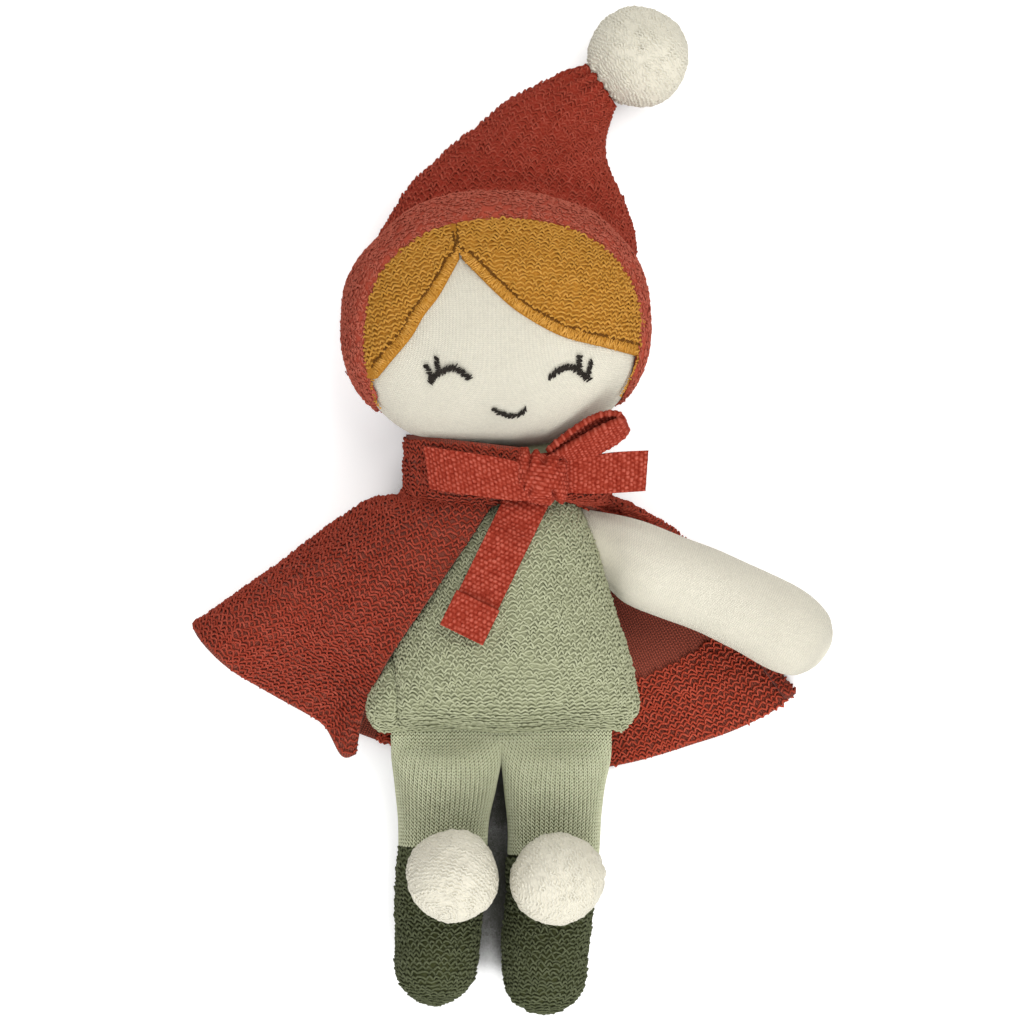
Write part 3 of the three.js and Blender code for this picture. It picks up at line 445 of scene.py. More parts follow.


# crest below sets the painted highlight on the loop tops and the painted shade between them
red_yarn = yarn_finish("red_yarn", (166, 78, 62), 24, crest=0.22)
# each backing below, apart from the pom's, is coloured darker than its yarn: painted shade in the gaps
# between the loops
red_backing = backing_finish("red_backing", (136, 46, 32))
# a lighter copy of the red yarn: painted light on the hem and front edge turned in, which lie in shade inside
# the cape
red_facing = yarn_finish("red_facing", (180, 82, 63), 20, crest=0.2)
red_inside = jersey_finish("red_inside", (160, 76, 58), 0.95, 0.75, 0.6, 0.2)
hood_yarn = yarn_finish("hood_yarn", (168, 86, 69), 18)
hood_backing = backing_finish("hood_backing", (158, 68, 51), 10)
sage_yarn = yarn_finish("sage_yarn", (177, 180, 150), 16, crest=0.2)
sage_backing = backing_finish("sage_backing", (146, 149, 120))
dark_yarn = yarn_finish("dark_yarn", (96, 101, 77), 18, crest=0.22)
dark_backing = backing_finish("dark_backing", (58, 62, 36), 10)
mustard_yarn = yarn_finish("mustard_yarn", (198, 147, 70), 20, crest=0.22)
mustard_backing = backing_finish("mustard_backing", (164, 112, 38))
mustard_thread = yarn_finish("mustard_thread", (190, 138, 60), 30)
black_thread = yarn_finish("black_thread", (42, 38, 34), 12)
# dark brown thread laid in the groove beside the satin border: painted shade
groove_thread = yarn_finish("groove_thread", (98, 62, 20), 12)
cream_jersey = jersey_finish("cream_jersey", (238, 233, 215), 0.66, 0.5, 0.82, 0.15)
pom_jersey = backing_finish("pom_backing", (210, 205, 189), 6)
pom_yarn = yarn_finish("pom_yarn", (211, 207, 192), 7, crest=0.1)
leg_yarn = yarn_finish("leg_yarn", (190, 193, 163), 14)
# far darker than the leg yarn: painted shade between the stitches
leg_backing = backing_finish("leg_backing", (84, 87, 60))
tape_weave = tape_finish("tape_weave", (148, 56, 40))

# Yarn rows and stitches
TERRY = {"pitch": 1.0, "wave": 1.72, "radius": 0.29, "height": 0.5, "rise": 0.34}
YARN_SIDES = 4
WAVE_STEPS = 6
FLOOR_ROOM = 0.7


class Growth(Nodes):
    """A geometry tree that grows yarn on points. Its named inputs are sizes and a material."""

    def __init__(self, name, **sockets):
        super().__init__(bpy.data.node_groups.new(name, "GeometryNodeTree"))
        face = self.tree.interface
        for label, kind in {"Geometry": "Geometry", **sockets, "Finish": "Material"}.items():
            face.new_socket(label.replace("_", " "), in_out="INPUT", socket_type="NodeSocket" + kind)
        face.new_socket("Geometry", in_out="OUTPUT", socket_type="NodeSocketGeometry")
        self.inputs = self.add("NodeGroupInput").outputs

    def named(self, name, kind="FLOAT"):
        node = self.add("GeometryNodeInputNamedAttribute", {"Name": name}, data_type=kind)
        return node.outputs["Attribute"]

    def step(self, kind, links, **values):
        return self.add("GeometryNode" + kind, links, **values).outputs[0]

    def finish(self, geometry):
        """The common end: real geometry with its material."""
        smooth = self.step("SetShadeSmooth", {"Geometry": geometry})
        real = self.step("RealizeInstances", {"Geometry": smooth})
        dressed = self.step("SetMaterial", {"Geometry": real, "Material": self.inputs["Finish"]})
        self.add("NodeGroupOutput", {"Geometry": dressed})
        return self.tree


def make_loop_tree():
    """Yarn that bows out in round loops along each row of points, and sinks between them."""
    g = Growth("wavy yarn rows", Yarn_radius="Float", Wave_height="Float", Loop_rise="Float")
    crest = g.math("ABSOLUTE", g.math("SINE", g.math("MULTIPLY", g.named("cycle"), math.pi)))
    wave = g.math("MULTIPLY_ADD", crest, 2.0, -1.2)
    swell = g.named("swell")
    bows = []
    for way, size, most in (("side", wave, "Wave height"), ("rise", crest, "Loop rise")):
        size = g.math("MULTIPLY", g.math("MULTIPLY", size, g.inputs[most]), swell)
        links = {0: g.named(way, "FLOAT_VECTOR"), "Scale": size}
        bows.append(g.add("ShaderNodeVectorMath", links, operation="SCALE").outputs[0])
    offset = g.add("ShaderNodeVectorMath", dict(enumerate(bows)), operation="ADD").outputs[0]
    moved = g.step("SetPosition", {"Geometry": g.inputs["Geometry"], "Offset": offset})
    thick = g.math("MULTIPLY", g.math("MULTIPLY_ADD", crest, 0.35, 0.65), g.named("slub"))
    line = g.step("SetCurveRadius", {"Curve": g.step("MeshToCurve", {"Mesh": moved}), "Radius": thick})
    ring = g.step("CurvePrimitiveCircle", {"Resolution": YARN_SIDES, "Radius": g.inputs["Yarn radius"]})
    return g.finish(g.step("CurveToMesh", {"Curve": line, "Profile Curve": ring, "Fill Caps": True}))


def make_stitch_tree():
    """A small oval stitch at every point, laid along its aim and flattened against the cloth."""
    g = Growth("single stitches", Stitch_width="Float", Stitch_depth="Float", Sides="Int")
    rings_number = g.math("SUBTRACT", g.inputs["Sides"], 1)
    oval = g.step("MeshUVSphere", {"Segments": g.inputs["Sides"], "Rings": rings_number, "Radius": 0.5})
    links = {0: g.named("aim", "FLOAT_VECTOR"), 1: g.named("rise", "FLOAT_VECTOR")}
    turn = g.add("FunctionNodeAxesToRotation", links, primary_axis="Z", secondary_axis="Y")
    turn = turn.outputs["Rotation"]
    links = {"X": g.inputs["Stitch width"], "Y": g.inputs["Stitch depth"], "Z": g.named("long")}
    size = g.add("ShaderNodeCombineXYZ", links).outputs["Vector"]
    links = {"Points": g.inputs["Geometry"], "Instance": oval, "Rotation": turn, "Scale": size}
    return g.finish(g.step("InstanceOnPoints", links))


loop_tree = make_loop_tree()
stitch_tree = make_stitch_tree()


def grow(name, tree, points, edges, vectors, floats, values):
    """Feeds points with their attributes to a tree and keeps the result as a plain mesh."""
    mesh = bpy.data.meshes.new(name)
    mesh.from_pydata((points * MM).tolist(), edges, [])
    for label, data in vectors.items():
        mark(mesh, label, data, "FLOAT_VECTOR", "vector")
    for label, data in floats.items():
        mark(mesh, label, data)
    base = link(name + "_base", mesh)
    modifier = base.modifiers.new("tree", "NODES")
    modifier.node_group = tree
    for item in tree.interface.items_tree:
        if item.in_out == "INPUT" and item.name in values:
            modifier[item.identifier] = values[item.name]
    graph = bpy.context.evaluated_depsgraph_get()
    grown = bpy.data.meshes.new_from_object(base.evaluated_get(graph), depsgraph=graph)
    grown.name = name
    bpy.data.objects.remove(base)
    bpy.data.meshes.remove(mesh)
    for label in (*vectors, *floats):
        if label in grown.attributes:
            grown.attributes.remove(grown.attributes[label])
    return link(name, grown)


def loops(name, p, n, closed, finish, seed, keep=None, lift=0.0, sway=0.45, **sizes):
    """Rows of looped yarn across a cloth grid. All rows wave in step with each other."""
    pitch, wave, radius, height, rise = {**TERRY, **sizes}.values()
    rng = np.random.default_rng(seed)
    if closed:
        turn = -int(np.argmin(p[..., 2].mean(axis=0)))
        p, n = (np.roll(grid, turn, axis=1) for grid in (p, n))
        p, n = (np.concatenate([grid, grid[:, :1]], axis=1) for grid in (p, n))
    run = lengths(p, 0)
    places = (np.arange(int((run[-1] - pitch) / pitch) + 1) + 0.5) * pitch
    step = wave / WAVE_STEPS
    parts, edges, total = [], [], 0
    for line, up in zip(rows_at(p, run, places), rows_at(n, run, places)):
        along = running(line)
        middle = along[len(along) // 2]
        s = np.arange(-int(middle / step), int((along[-1] - middle) / step) + 1) * step
        if len(s) < WAVE_STEPS:
            continue
        q = at_lengths(s + middle, along, line)
        u = unit(at_lengths(s + middle, along, up))
        side = unit(np.cross(u, np.gradient(q, axis=0)))
        cycle = s / wave + rng.uniform(-0.26, 0.26)
        good = np.ones(len(s), bool) if keep is None else keep(q)
        q = q + u * (lift + rng.uniform(-0.04, 0.04))
        index = np.cumsum(good) - 1 + total
        pair = good[:-1] & good[1:]
        edges += np.stack([index[:-1][pair], index[1:][pair]], 1).tolist()
        parts.append((q[good], side[good], u[good], cycle[good]))
        total += int(good.sum())
    q, side, u, cycle = (np.concatenate(part) for part in zip(*parts))
    if side[:, 1].sum() < 0:
        side = -side
    cycle = cycle + sway * slow_noise(q, 11, seed) + 0.55 * slow_noise(q, 2.2, seed + 1)
    swell = np.clip(1 + slow_noise(q, 1.4, seed + 2), 0.35, 1.75)
    slub = 1 + 0.65 * slow_noise(q, 0.9, seed + 3)
    q = q + side * (0.42 * slow_noise(q, 1.6, seed + 4) + 0.6 * slow_noise(q, 9, seed + 5))[:, None]
    q = q + u * (0.28 * slow_noise(q, 1.4, seed + 6))[:, None]
    q[:, 2] = np.maximum(q[:, 2], FLOOR_ROOM)
    values = {
        "Yarn radius": radius * MM,
        "Wave height": height * MM,
        "Loop rise": rise * MM,
        "Finish": finish,
    }
    floats = {"cycle": cycle, "swell": swell, "slub": slub}
    return grow(name, loop_tree, q, edges, {"side": side, "rise": u}, floats, values)


def stitches(name, q, aim, rise, long, width, depth, finish, sides=5):
    """Single stitches at points q, in millimetres."""
    values = {"Stitch width": width * MM, "Stitch depth": depth * MM, "Sides": sides, "Finish": finish}
    return grow(name, stitch_tree, q, [], {"aim": aim, "rise": rise}, {"long": np.asarray(long) * MM}, values)


def pile(name, p, n, count, long, width, finish, seed):
    """Short yarn ends lying every way over a grid that closes on itself."""
    rng = np.random.default_rng(seed)
    beside, below = np.roll(p, -1, axis=1)[:-1], p[1:]
    area = np.linalg.norm(np.cross(beside - p[:-1], below - p[:-1]), axis=-1)
    area = area * np.where(p[:-1, :, 2] > 8, 1, 0.45)
    cell = rng.choice(area.size, count, p=area.ravel() / area.sum())
    i, k = np.unravel_index(cell, area.shape)
    a, b = rng.random((2, count, 1))
    across, down = (beside - p[:-1])[i, k], (below - p[:-1])[i, k]
    q = p[i, k] + across * a + down * b
    u = n[i, k]
    across, down = unit(across), unit(down)
    angle = (0.9 * slow_noise(q, 2.5, seed) + rng.normal(0, 0.55, count))[:, None]
    aim = unit(across * np.cos(angle) + down * np.sin(angle) + u * rng.normal(0, 0.16, (count, 1)))
    q = q + u * rng.uniform(0.0, 0.35, (count, 1))
    q[:, 2] = np.maximum(q[:, 2], FLOOR_ROOM)
    return stitches(name, q, aim, u, long * rng.uniform(0.7, 1.3, count), width, width * 0.9, finish, 4)


def knit_stitches(name, p, n, finish, wales, course, seed):
    """Columns of V-shaped stitches round a closed cloth grid. wales is how many columns it has."""
    rng = np.random.default_rng(seed)
    run = lengths(p, 0)
    places = (np.arange(int(run[-1] / course)) + 0.5) * course
    cols = np.arange(wales * 2)
    lean = np.where(cols % 2 == 0, 1.0, -1.0)[:, None]
    out = []
    for line, up in zip(rows_at(p, run, places), rows_at(n, run, places)):
        line, up = (np.concatenate([row, row[:1]]) for row in (line, up))
        along = running(line)
        gap = along[-1] / len(cols)
        s = (cols + 0.5) * gap
        q, u = at_lengths(s, along, line), unit(at_lengths(s, along, up))
        tangent = unit(at_lengths(s + 0.05, along, line) - at_lengths(s - 0.05, along, line))
        aim = unit(unit(np.cross(u, tangent)) + lean * 0.5 * tangent)
        q = q + u * 0.05 - lean * tangent * gap * 0.08 + tangent * rng.normal(0, 0.025, (len(cols), 1))
        q[:, 2] = np.maximum(q[:, 2], FLOOR_ROOM)
        long = course * 1.5 * (1 + rng.normal(0, 0.05, len(cols)))
        out.append((q, aim, u, long, np.full(len(cols), gap)))
    q, aim, u, long, gap = (np.concatenate(part) for part in zip(*out))
    wide = float(np.median(gap)) * 0.76
    return stitches(name, q, aim, u, long, wide, wide * 0.8, finish, 4)


# Sizes shared with the solids
CLOTH = 1.4
GAP = 0.3
TORSO_BOTTOM = -29.0
TORSO_LENGTH = 64.0
TORSO_TOP = TORSO_BOTTOM + TORSO_LENGTH
TORSO_MIDDLE = 20.7
HEAD = np.array([-4.4, 64.2, 25.1])
HEAD_HALF = np.array([33.2, 28.7, 23.9])
HEAD_POWER = 2.3
OPENING = np.array([-2.5, 59.6])
OPENING_HALF = np.array([30.6, 27.2])
# the torso from its bottom to the neck: share of its length, width and depth
TORSO_SHAPE = [
    (0, 56, 3),
    (0.03, 59.2, 11),
    (0.1, 62.4, 25.84),
    (0.25, 56.16, 36.1),
    (0.46, 46, 38),
    (0.68, 36, 33.44),
    (0.83, 26, 21.42),
    (0.92, 22, 17),
    (1, 18, 17),
    (1.06, 18, 17),
]

# How near the floor the cloth of each piece comes, under its yarn
CLOTH_FLOOR = 0.5
HOOD_FLOOR = 0.6
HOOD_INNER_FLOOR = 0.3
POM_FLOOR = 0.6
CAPE_FLOOR = 1.25


def torso_centre(y):
    """X of the torso's middle line, which leans a little."""
    return 5 * ((y - TORSO_BOTTOM) / TORSO_LENGTH - 0.6)


def torso_station(share, width, depth):
    """One ring of the torso, for the function rings."""
    y = TORSO_BOTTOM + TORSO_LENGTH * share
    return [torso_centre(y), y, TORSO_MIDDLE, 0, width / 2, depth / 2]


TORSO_STATIONS = [torso_station(*row) for row in TORSO_SHAPE]


def torso_front(x, y):
    """Height of the front of the torso, and zero beside it."""
    s = np.array(TORSO_STATIONS)
    x, y = np.asarray(x, float), np.asarray(y, float)
    centre, half, deep = (np.interp(y, s[:, 1], s[:, c]) for c in (0, 4, 5))
    across = np.abs(x - centre) / half
    height = TORSO_MIDDLE + deep * np.sqrt(np.clip(1 - across**2, 0, 1))
    inside = (across < 1) & (y > TORSO_BOTTOM) & (y < TORSO_TOP)
    return np.where(inside, height, 0)


def head_height(x, y):
    """Height of the front of the head at a place."""
    half = HEAD_HALF
    reach = np.abs((y - HEAD[1]) / half[1]) ** HEAD_POWER + np.abs((x - HEAD[0]) / half[0]) ** HEAD_POWER
    return HEAD[2] + half[2] * np.clip(1 - reach, 0, 1) ** (1 / HEAD_POWER)


def head_point(direction):
    """Point of the head's surface in a direction from its middle."""
    d = unit(np.asarray(direction, float))
    size = (np.abs(d / HEAD_HALF) ** HEAD_POWER).sum(-1, keepdims=True) ** (-1 / HEAD_POWER)
    return HEAD + d * size


pieces = []


def keep_piece(obj, body, slot_name=None, replaced=(), blended=None, fill=None):
    """Records how a finished piece rides, what it stands for and what it is made of."""
    pieces.append((obj, body, slot_name, replaced, blended, fill))


# Torso


def make_torso():
    """The stuffed tunic, with the seam down its right side, and its loops."""
    p = even_rings(rings(TORSO_STATIONS, 90, 160), 90)
    n = facing(p, True)
    y = p[..., 1:2]
    front = smoothstep(p[..., 2:3], TORSO_MIDDLE, TORSO_MIDDLE + 6)
    seam = np.exp(-(((p[..., 0:1] + 27.6 + 0.12 * (y + 20)) / 0.75) ** 2)) * smoothstep(-y, -2, 8) * front
    p = p + n * (lumps(p, 16, 0.9, 1) - 1.5 * seam - 0.25)
    n = facing(p, True)
    skin = stuffed("torso_bag", p, sage_backing)
    keep_piece(skin, "torso", "sage_terry", ["torso"], fill=0.8)
    rows = loops("torso_loops", p, n, True, sage_yarn, 11, keep=lambda q: (q[:, 2] > 7) & (q[:, 1] < 33))
    keep_piece(rows, "torso", "sage_terry")


# Head and hood
HEAD_RINGS = 96
HEAD_SIDES = 144
HOOD_RINGS = 90
HOOD_SIDES = 220
PILE_COUNT = 12000


def make_head():
    """The stuffed ball of the head."""
    theta = np.linspace(0.004, math.pi - 0.004, HEAD_RINGS + 1)
    phi = TAU * np.arange(HEAD_SIDES) / HEAD_SIDES
    d = np.stack(
        [
            np.sin(theta)[:, None] * np.cos(phi)[None],
            -np.cos(theta)[:, None] * np.ones_like(phi)[None],
            np.sin(theta)[:, None] * np.sin(phi)[None],
        ],
        -1,
    )
    p = head_point(d)
    n = facing(p, True)
    p = p + n * lumps(p, 22, 0.5, 2)
    skin = stuffed("head_ball", p, cream_jersey)
    keep_piece(skin, "head", "cream_jersey", ["head"], fill=0.9)


def hood_grid(rows, columns):
    """Grid of the hood: from its edge round the face to the back of the head."""
    around = TAU * np.arange(columns) / columns
    c, s = np.cos(around), np.sin(around)
    x = OPENING[0] + OPENING_HALF[0] * squarer(c, HEAD_POWER)
    x = x - (0.9 * smoothstep(-s, -0.35, 0) + 0.9 * smoothstep(-s, 0, 0.42)) * (c > 0)
    y = OPENING[1] + OPENING_HALF[1] * squarer(s, HEAD_POWER)
    low = smoothstep(-s, 0.42, 0.7)
    z = head_height(x, np.maximum(y, 44)) - HEAD[2]
    edge_front = np.stack([x - HEAD[0], np.maximum(y, 44) - HEAD[1], z], -1)
    back_x = 30 * np.sign(c) * np.abs(c) ** 0.7
    edge_back = np.stack([back_x, np.full_like(x, 46 - HEAD[1]), -14 - 6 * (-s)], -1)
    edge = unit(unit(edge_front) * (1 - low[:, None]) + unit(edge_back) * low[:, None])
    share = (smoothstep(-s, 0.38, 0.48) * (1 - smoothstep(-s, 0.85, 1)))[:, None]
    for _ in range(60):
        even = (np.roll(edge, 1, axis=0) + 2 * edge + np.roll(edge, -1, axis=0)) / 4
        edge = unit(edge * (1 - share) + even * share)
    pole = unit(np.array([0.0, 0.12, -1.0]))
    t = np.linspace(0, 1, rows)[:, None, None]
    angle = np.arccos(np.clip((edge * pole).sum(-1), -1, 1))[None, :, None]
    return (np.sin((1 - t) * angle) * edge[None] + np.sin(t * angle) * pole) / np.sin(angle)


def make_hood():
    """The hood's shell with its pile, and the thread end that hangs from its edge."""
    d = hood_grid(HOOD_RINGS, HOOD_SIDES)[:-2]
    t = np.linspace(0, 1, len(d))[:, None, None]
    outer = head_point(d)
    n = unit(outer - HEAD)
    thin_end = (1 - smoothstep(outer[:1, :, 1:2], 43, 58)) * (1 - smoothstep(t, 0.08, 0.4))
    corner = np.exp(-(((outer[..., 0:1] + 29) / 9) ** 2) - ((outer[..., 1:2] - 84) / 8) ** 2)
    roll = smoothstep(t, 0, 0.03) ** 0.5
    swell = (0.75 + 1.1 * roll + 0.2 * np.sin(np.clip(t, 0, 0.3) / 0.3 * math.pi)) * (1 - 0.75 * thin_end)
    p = outer + n * (swell * (1 - 0.75 * corner * smoothstep(t, 0, 0.1)) + lumps(outer, 9, 0.45, 3))
    p[..., 2] = np.maximum(p[..., 2], HOOD_FLOOR)
    normal = unit(np.cross(np.roll(p, -1, axis=1) - np.roll(p, 1, axis=1), np.gradient(p, axis=0)))
    if (normal * (p - HEAD)).sum() < 0:
        normal = -normal
    inner = outer[::-2] + n[::-2] * 0.15
    inner[..., 2] = np.maximum(inner[..., 2], HOOD_INNER_FLOOR)
    shell = np.concatenate([p, (p[-1:] + inner[:1]) / 2, inner])
    skin = closed_band("hood_shell", shell, hood_backing)
    keep_piece(skin, "head", "hood_pile", ["hood"])
    keep_piece(pile("hood_pile", p, normal, PILE_COUNT, 1.25, 0.5, hood_yarn, 21), "head", "hood_pile")
    tail = np.array([(-36.6, 52.6, 22.0), (-37.6, 53.4, 22.4), (-38.3, 52.8, 22.2), (-38.9, 53.6, 22.6)])
    q = spline(tail, np.linspace(0, 1, 16))
    aim = unit(np.gradient(q, axis=0))
    up = np.tile([0.0, 0, 1], (16, 1))
    thread = stitches("hood_thread_end", q, aim, up, np.full(16, 0.5), 0.28, 0.28, red_backing)
    keep_piece(thread, "head", "hood_pile")


# Hair: two locks on the head, under the hood's edge
RIGHT_EDGE = [(-12.5, 78.4), (-17.0, 70.2), (-20.5, 65.6), (-23.2, 61.0), (-27.1, 56.4), (-31.1, 51.8)]
LEFT_EDGE = [(-12.0, 78.4), (-3.9, 70.2), (1.8, 65.6), (10.4, 61.0), (19.6, 58.7), (27.1, 57.0)]
RIGHT_UNDER = [(-13.2, 87.2), (-21.5, 84.4), (-28.6, 78.0), (-33.0, 69.5), (-35.0, 61.0), (-34.4, 52.5)]
LEFT_UNDER = [(-13.2, 87.2), (-4.0, 89.0), (7.0, 88.6), (17.6, 84.4), (26.0, 76.5), (29.8, 60.0)]
RIGHT_BORDER = [(-14.2, 87.0), (-13.6, 83.4), *RIGHT_EDGE, (-31.6, 49.4), (-29.8, 45.2)]
LEFT_CHEEK = [(23.8, 57.9), (26.6, 56.9), (26.7, 54.6), (25.4, 51.2), (23.4, 48.0)]
LEFT_BORDER = [(-13.6, 87.0), (-13.0, 83.4), *LEFT_EDGE[:-1], *LEFT_CHEEK]
BORDER_WIDTH = 2.3
OPENING_ROOM = 0.2


def lock_side(q, line, sign):
    """Distance of points from a line, positive on a lock's side, and how far along the line they are."""
    best, value, place = np.full(len(q), 1e9), np.zeros(len(q)), np.zeros(len(q))
    start = 0.0
    for a, b in zip(line[:-1], line[1:]):
        d = b - a
        t = np.clip(((q[:, :2] - a) @ d) / (d @ d), 0, 1)
        away = np.linalg.norm(q[:, :2] - a - t[:, None] * d, axis=1)
        cross = d[0] * (q[:, 1] - a[1]) - d[1] * (q[:, 0] - a[0])
        long = math.hypot(*d)
        closer = away < best
        best = np.where(closer, away, best)
        value = np.where(closer, cross, value)
        place = np.where(closer, start + t * long, place)
        start += long
    return best * np.sign(value) * sign, place


def border_width(s, end):
    """Width of the satin stitches: none at the parting, full beside the face, narrow on the cheek."""
    return BORDER_WIDTH * smoothstep(s, 4.5, 11) * (1 - 0.5 * smoothstep(s, end - 10, end - 7))


def rows_in_lock(name, inside, angle, box, seed):
    """Wavy rows at an angle, laid on the head and kept where the lock is."""
    low_x, high_x, low_y, high_y = box
    middle = np.array([(low_x + high_x) / 2, (low_y + high_y) / 2])
    reach = math.hypot(high_x - low_x, high_y - low_y) / 2
    c, s = math.cos(math.radians(angle)), math.sin(math.radians(angle))
    a = np.arange(-reach, reach, 0.2)
    b = np.arange(reach, -reach, -0.5)
    x = middle[0] + a[None] * c - b[:, None] * s
    y = middle[1] + a[None] * s + b[:, None] * c
    p = np.stack([x, y, head_height(x, y)], -1)
    n = facing(p, False)
    n = np.where(n[..., 2:3] < 0, -n, n)
    sizes = {"pitch": 0.98, "wave": 1.65, "radius": 0.3, "height": 0.34}
    return loops(name, p, n, False, mustard_yarn, seed, inside, 1.0, 0.7, **sizes)


def inside_opening(q):
    """Whether points lie within the hood's edge round the face."""
    c = np.abs((q[:, 0] - OPENING[0]) / (OPENING_HALF[0] + OPENING_ROOM)) ** HEAD_POWER
    s = np.abs((q[:, 1] - OPENING[1]) / (OPENING_HALF[1] + OPENING_ROOM)) ** HEAD_POWER
    return c + s < 1


def make_border(name, line, sign, seed):
    """Satin stitches along a lock's lower edge, and dark stitches in the groove beside them as painted shade.
    """
    rng = np.random.default_rng(seed)
    run = running(line)
    along = np.gradient(line, axis=0)
    inward = unit(np.stack([-along[:, 1], along[:, 0]], -1)) * sign
    s = np.arange(3.0, run[-1] - 0.2, 0.27)
    q = at_lengths(s, run, line)
    inward = unit(at_lengths(s, run, inward))
    cheek = smoothstep(s, run[-1] - 10, run[-1] - 5)
    wide = border_width(s, run[-1])
    satin = wide > 0.3
    groove = cheek < 0.3
    # the groove's dark thread is painted shade
    for label, out, long, width, finish, lift, chosen in (
        ("border", wide / 2, wide + rng.normal(0, 0.35, len(s)), 0.4, mustard_thread, 0.95, satin),
        ("groove", wide + 0.25, np.full(len(s), 0.75), 0.62, groove_thread, 0.95, groove),
    ):
        middle = (q + inward * out[:, None] + rng.normal(0, 0.1, (len(s), 2)))[chosen]
        reach = (np.abs((middle - HEAD[:2]) / HEAD_HALF[:2]) ** HEAD_POWER).sum(axis=1) ** (1 / HEAD_POWER)
        middle = HEAD[:2] + (middle - HEAD[:2]) * np.minimum(1, 0.972 / reach)[:, None]
        inner, swing = inward[chosen], rng.normal(0, 0.28, (len(s), 2))[chosen]
        tip, base = middle + inner * 0.3, middle - inner * 0.3
        rise_to = (head_height(tip[:, 0], tip[:, 1]) - head_height(base[:, 0], base[:, 1])) / 0.6
        aim = unit(np.concatenate([inner + swing, np.clip(rise_to, -2.5, 2.5)[:, None]], 1))
        point = np.concatenate([middle, head_height(middle[:, 0], middle[:, 1])[:, None]], 1)
        u = unit((point - HEAD) / HEAD_HALF**2)
        q3 = point + u * (lift - 0.5 * cheek + rng.uniform(0, 0.25, len(s)))[chosen][:, None]
        made = stitches(f"hair_{name}_{label}", q3, aim, u, long[chosen], width, 0.4, finish)
        keep_piece(made, "head", "mustard_terry")


def make_hair():
    """Both locks: their cloth, loops and satin-stitched edge."""
    for name, edge, under, border, sign, seed, angle in (
        ("right", RIGHT_EDGE, RIGHT_UNDER, RIGHT_BORDER, -1, 31, 16),
        ("left", LEFT_EDGE, LEFT_UNDER, LEFT_BORDER, 1, 32, -5),
    ):
        low, high = spline(edge, np.linspace(0, 1, 40)), spline(under, np.linspace(0, 1, 40))
        t = np.linspace(0, 1, 36)[:, None, None]
        flat = low[None] * (1 - t) + high[None] * t
        p = np.concatenate([flat, head_height(flat[..., 0], flat[..., 1])[..., None]], -1)
        n = facing(p, False)
        n = np.where(n[..., 2:3] < 0, -n, n)
        thick = 0.3 + 0.75 * smoothstep(t[..., 0], 0, 0.08)
        skin = sheet_of(f"hair_{name}_cloth", p, n, thick, -0.05, mustard_backing)
        keep_piece(skin, "head", "mustard_terry", [f"hair_{name}"])
        line = spline(border, np.linspace(0, 1, 90))
        end = np.linalg.norm(np.diff(line, axis=0), axis=1).sum()

        def inside(q, line=line, sign=sign, end=end):
            away, place = lock_side(q, line, sign)
            return inside_opening(q) & (away > border_width(place, end) + 0.3) & (place < end - 8)

        box = (-15.5, 29, 56, 89) if sign > 0 else (-34.5, -12, 51, 89)
        keep_piece(rows_in_lock(f"hair_{name}_loops", inside, angle, box, seed), "head", "mustard_terry")
        make_border(name, line, sign, seed + 5)


# Face: closed eyes and a small mouth, worked in short threads across each line
RIGHT_EYE = [(-19.0, 50.8), (-18.0, 52.2), (-15.6, 53.5), (-13.5, 53.9), (-12.0, 53.1), (-10.1, 51.5)]
RIGHT_LASHES = [[(-18.6, 51.9), (-20.1, 54.7)], [(-17.2, 53.4), (-17.6, 56.3)]]
LEFT_EYE = [(7.6, 51.9), (9.2, 53.0), (11.5, 54.2), (13.6, 53.7), (15.2, 52.4), (16.6, 51.4)]
LEFT_LASHES = [[(14.5, 53.6), (14.4, 56.8)], [(16.1, 52.0), (17.1, 55.6)]]
MOUTH = [(-4.8, 44.9), (-3.8, 44.0), (-2.6, 43.7), (-1.2, 43.3), (1.1, 43.7), (2.4, 44.9)]
THREAD_GAP = 0.2


def worked_line(path, width, rng):
    """Short threads across a line on the face, each a little out of line."""
    line = spline(path, np.linspace(0, 1, 60))
    run = running(line)
    count = max(int(run[-1] / THREAD_GAP), 3)
    s = np.linspace(0, run[-1], count)
    q = at_lengths(s, run, line)
    along = unit(np.gradient(q, axis=0))
    across = np.stack([-along[:, 1], along[:, 0]], 1)
    slant = unit(across + along * (0.5 + rng.normal(0, 0.25, (count, 1))))
    q = q + rng.normal(0, 0.09, (count, 2))
    long = width * (1 + rng.normal(0, 0.14, count))
    z = head_height(q[:, 0], q[:, 1])
    point = np.concatenate([q, z[:, None]], 1)
    u = unit((point - HEAD) / HEAD_HALF**2)
    aim3 = np.concatenate([slant, np.zeros((count, 1))], 1)
    aim3 = unit(aim3 - (aim3 * u).sum(1, keepdims=True) * u)
    return point + u * 0.42, aim3, u, long


def make_face():
    """Eyes with their lashes, and the mouth."""
    rng = np.random.default_rng(41)
    parts = []
    for path in [RIGHT_EYE, *RIGHT_LASHES, LEFT_EYE, *LEFT_LASHES]:
        parts.append(worked_line(path, 1.85 if len(path) > 2 else 1.6, rng))
    q, aim, u, long = (np.concatenate(x) for x in zip(*parts))
    keep_piece(stitches("eyes", q, aim, u, long, 0.4, 0.5, black_thread), "head")
    q, aim, u, long = worked_line(MOUTH, 1.45, rng)
    keep_piece(stitches("mouth", q, aim, u, long, 0.4, 0.5, black_thread), "head")


# Hat
HAT_SKIRT = [[-1.2, 68, 17, 0, 24, 8], [-1.6, 74, 18, 0, 27.8, 12], [-1.7, 79.6, 19.4, 0, 29.3, 15.6]]
HOOD_TOP = 94.6
HAT_BASE = (HOOD_TOP - 9, 21.0)
HAT_TIP = np.array([20.1, 120.2, 11.1])
HAT_WIDTHS = (60, 10.8)
HAT_DEPTHS = (33, 9.6)
HAT_RAMP = ((0.004, 0.100, 0.02), (0.006, 0.112, 0.02))


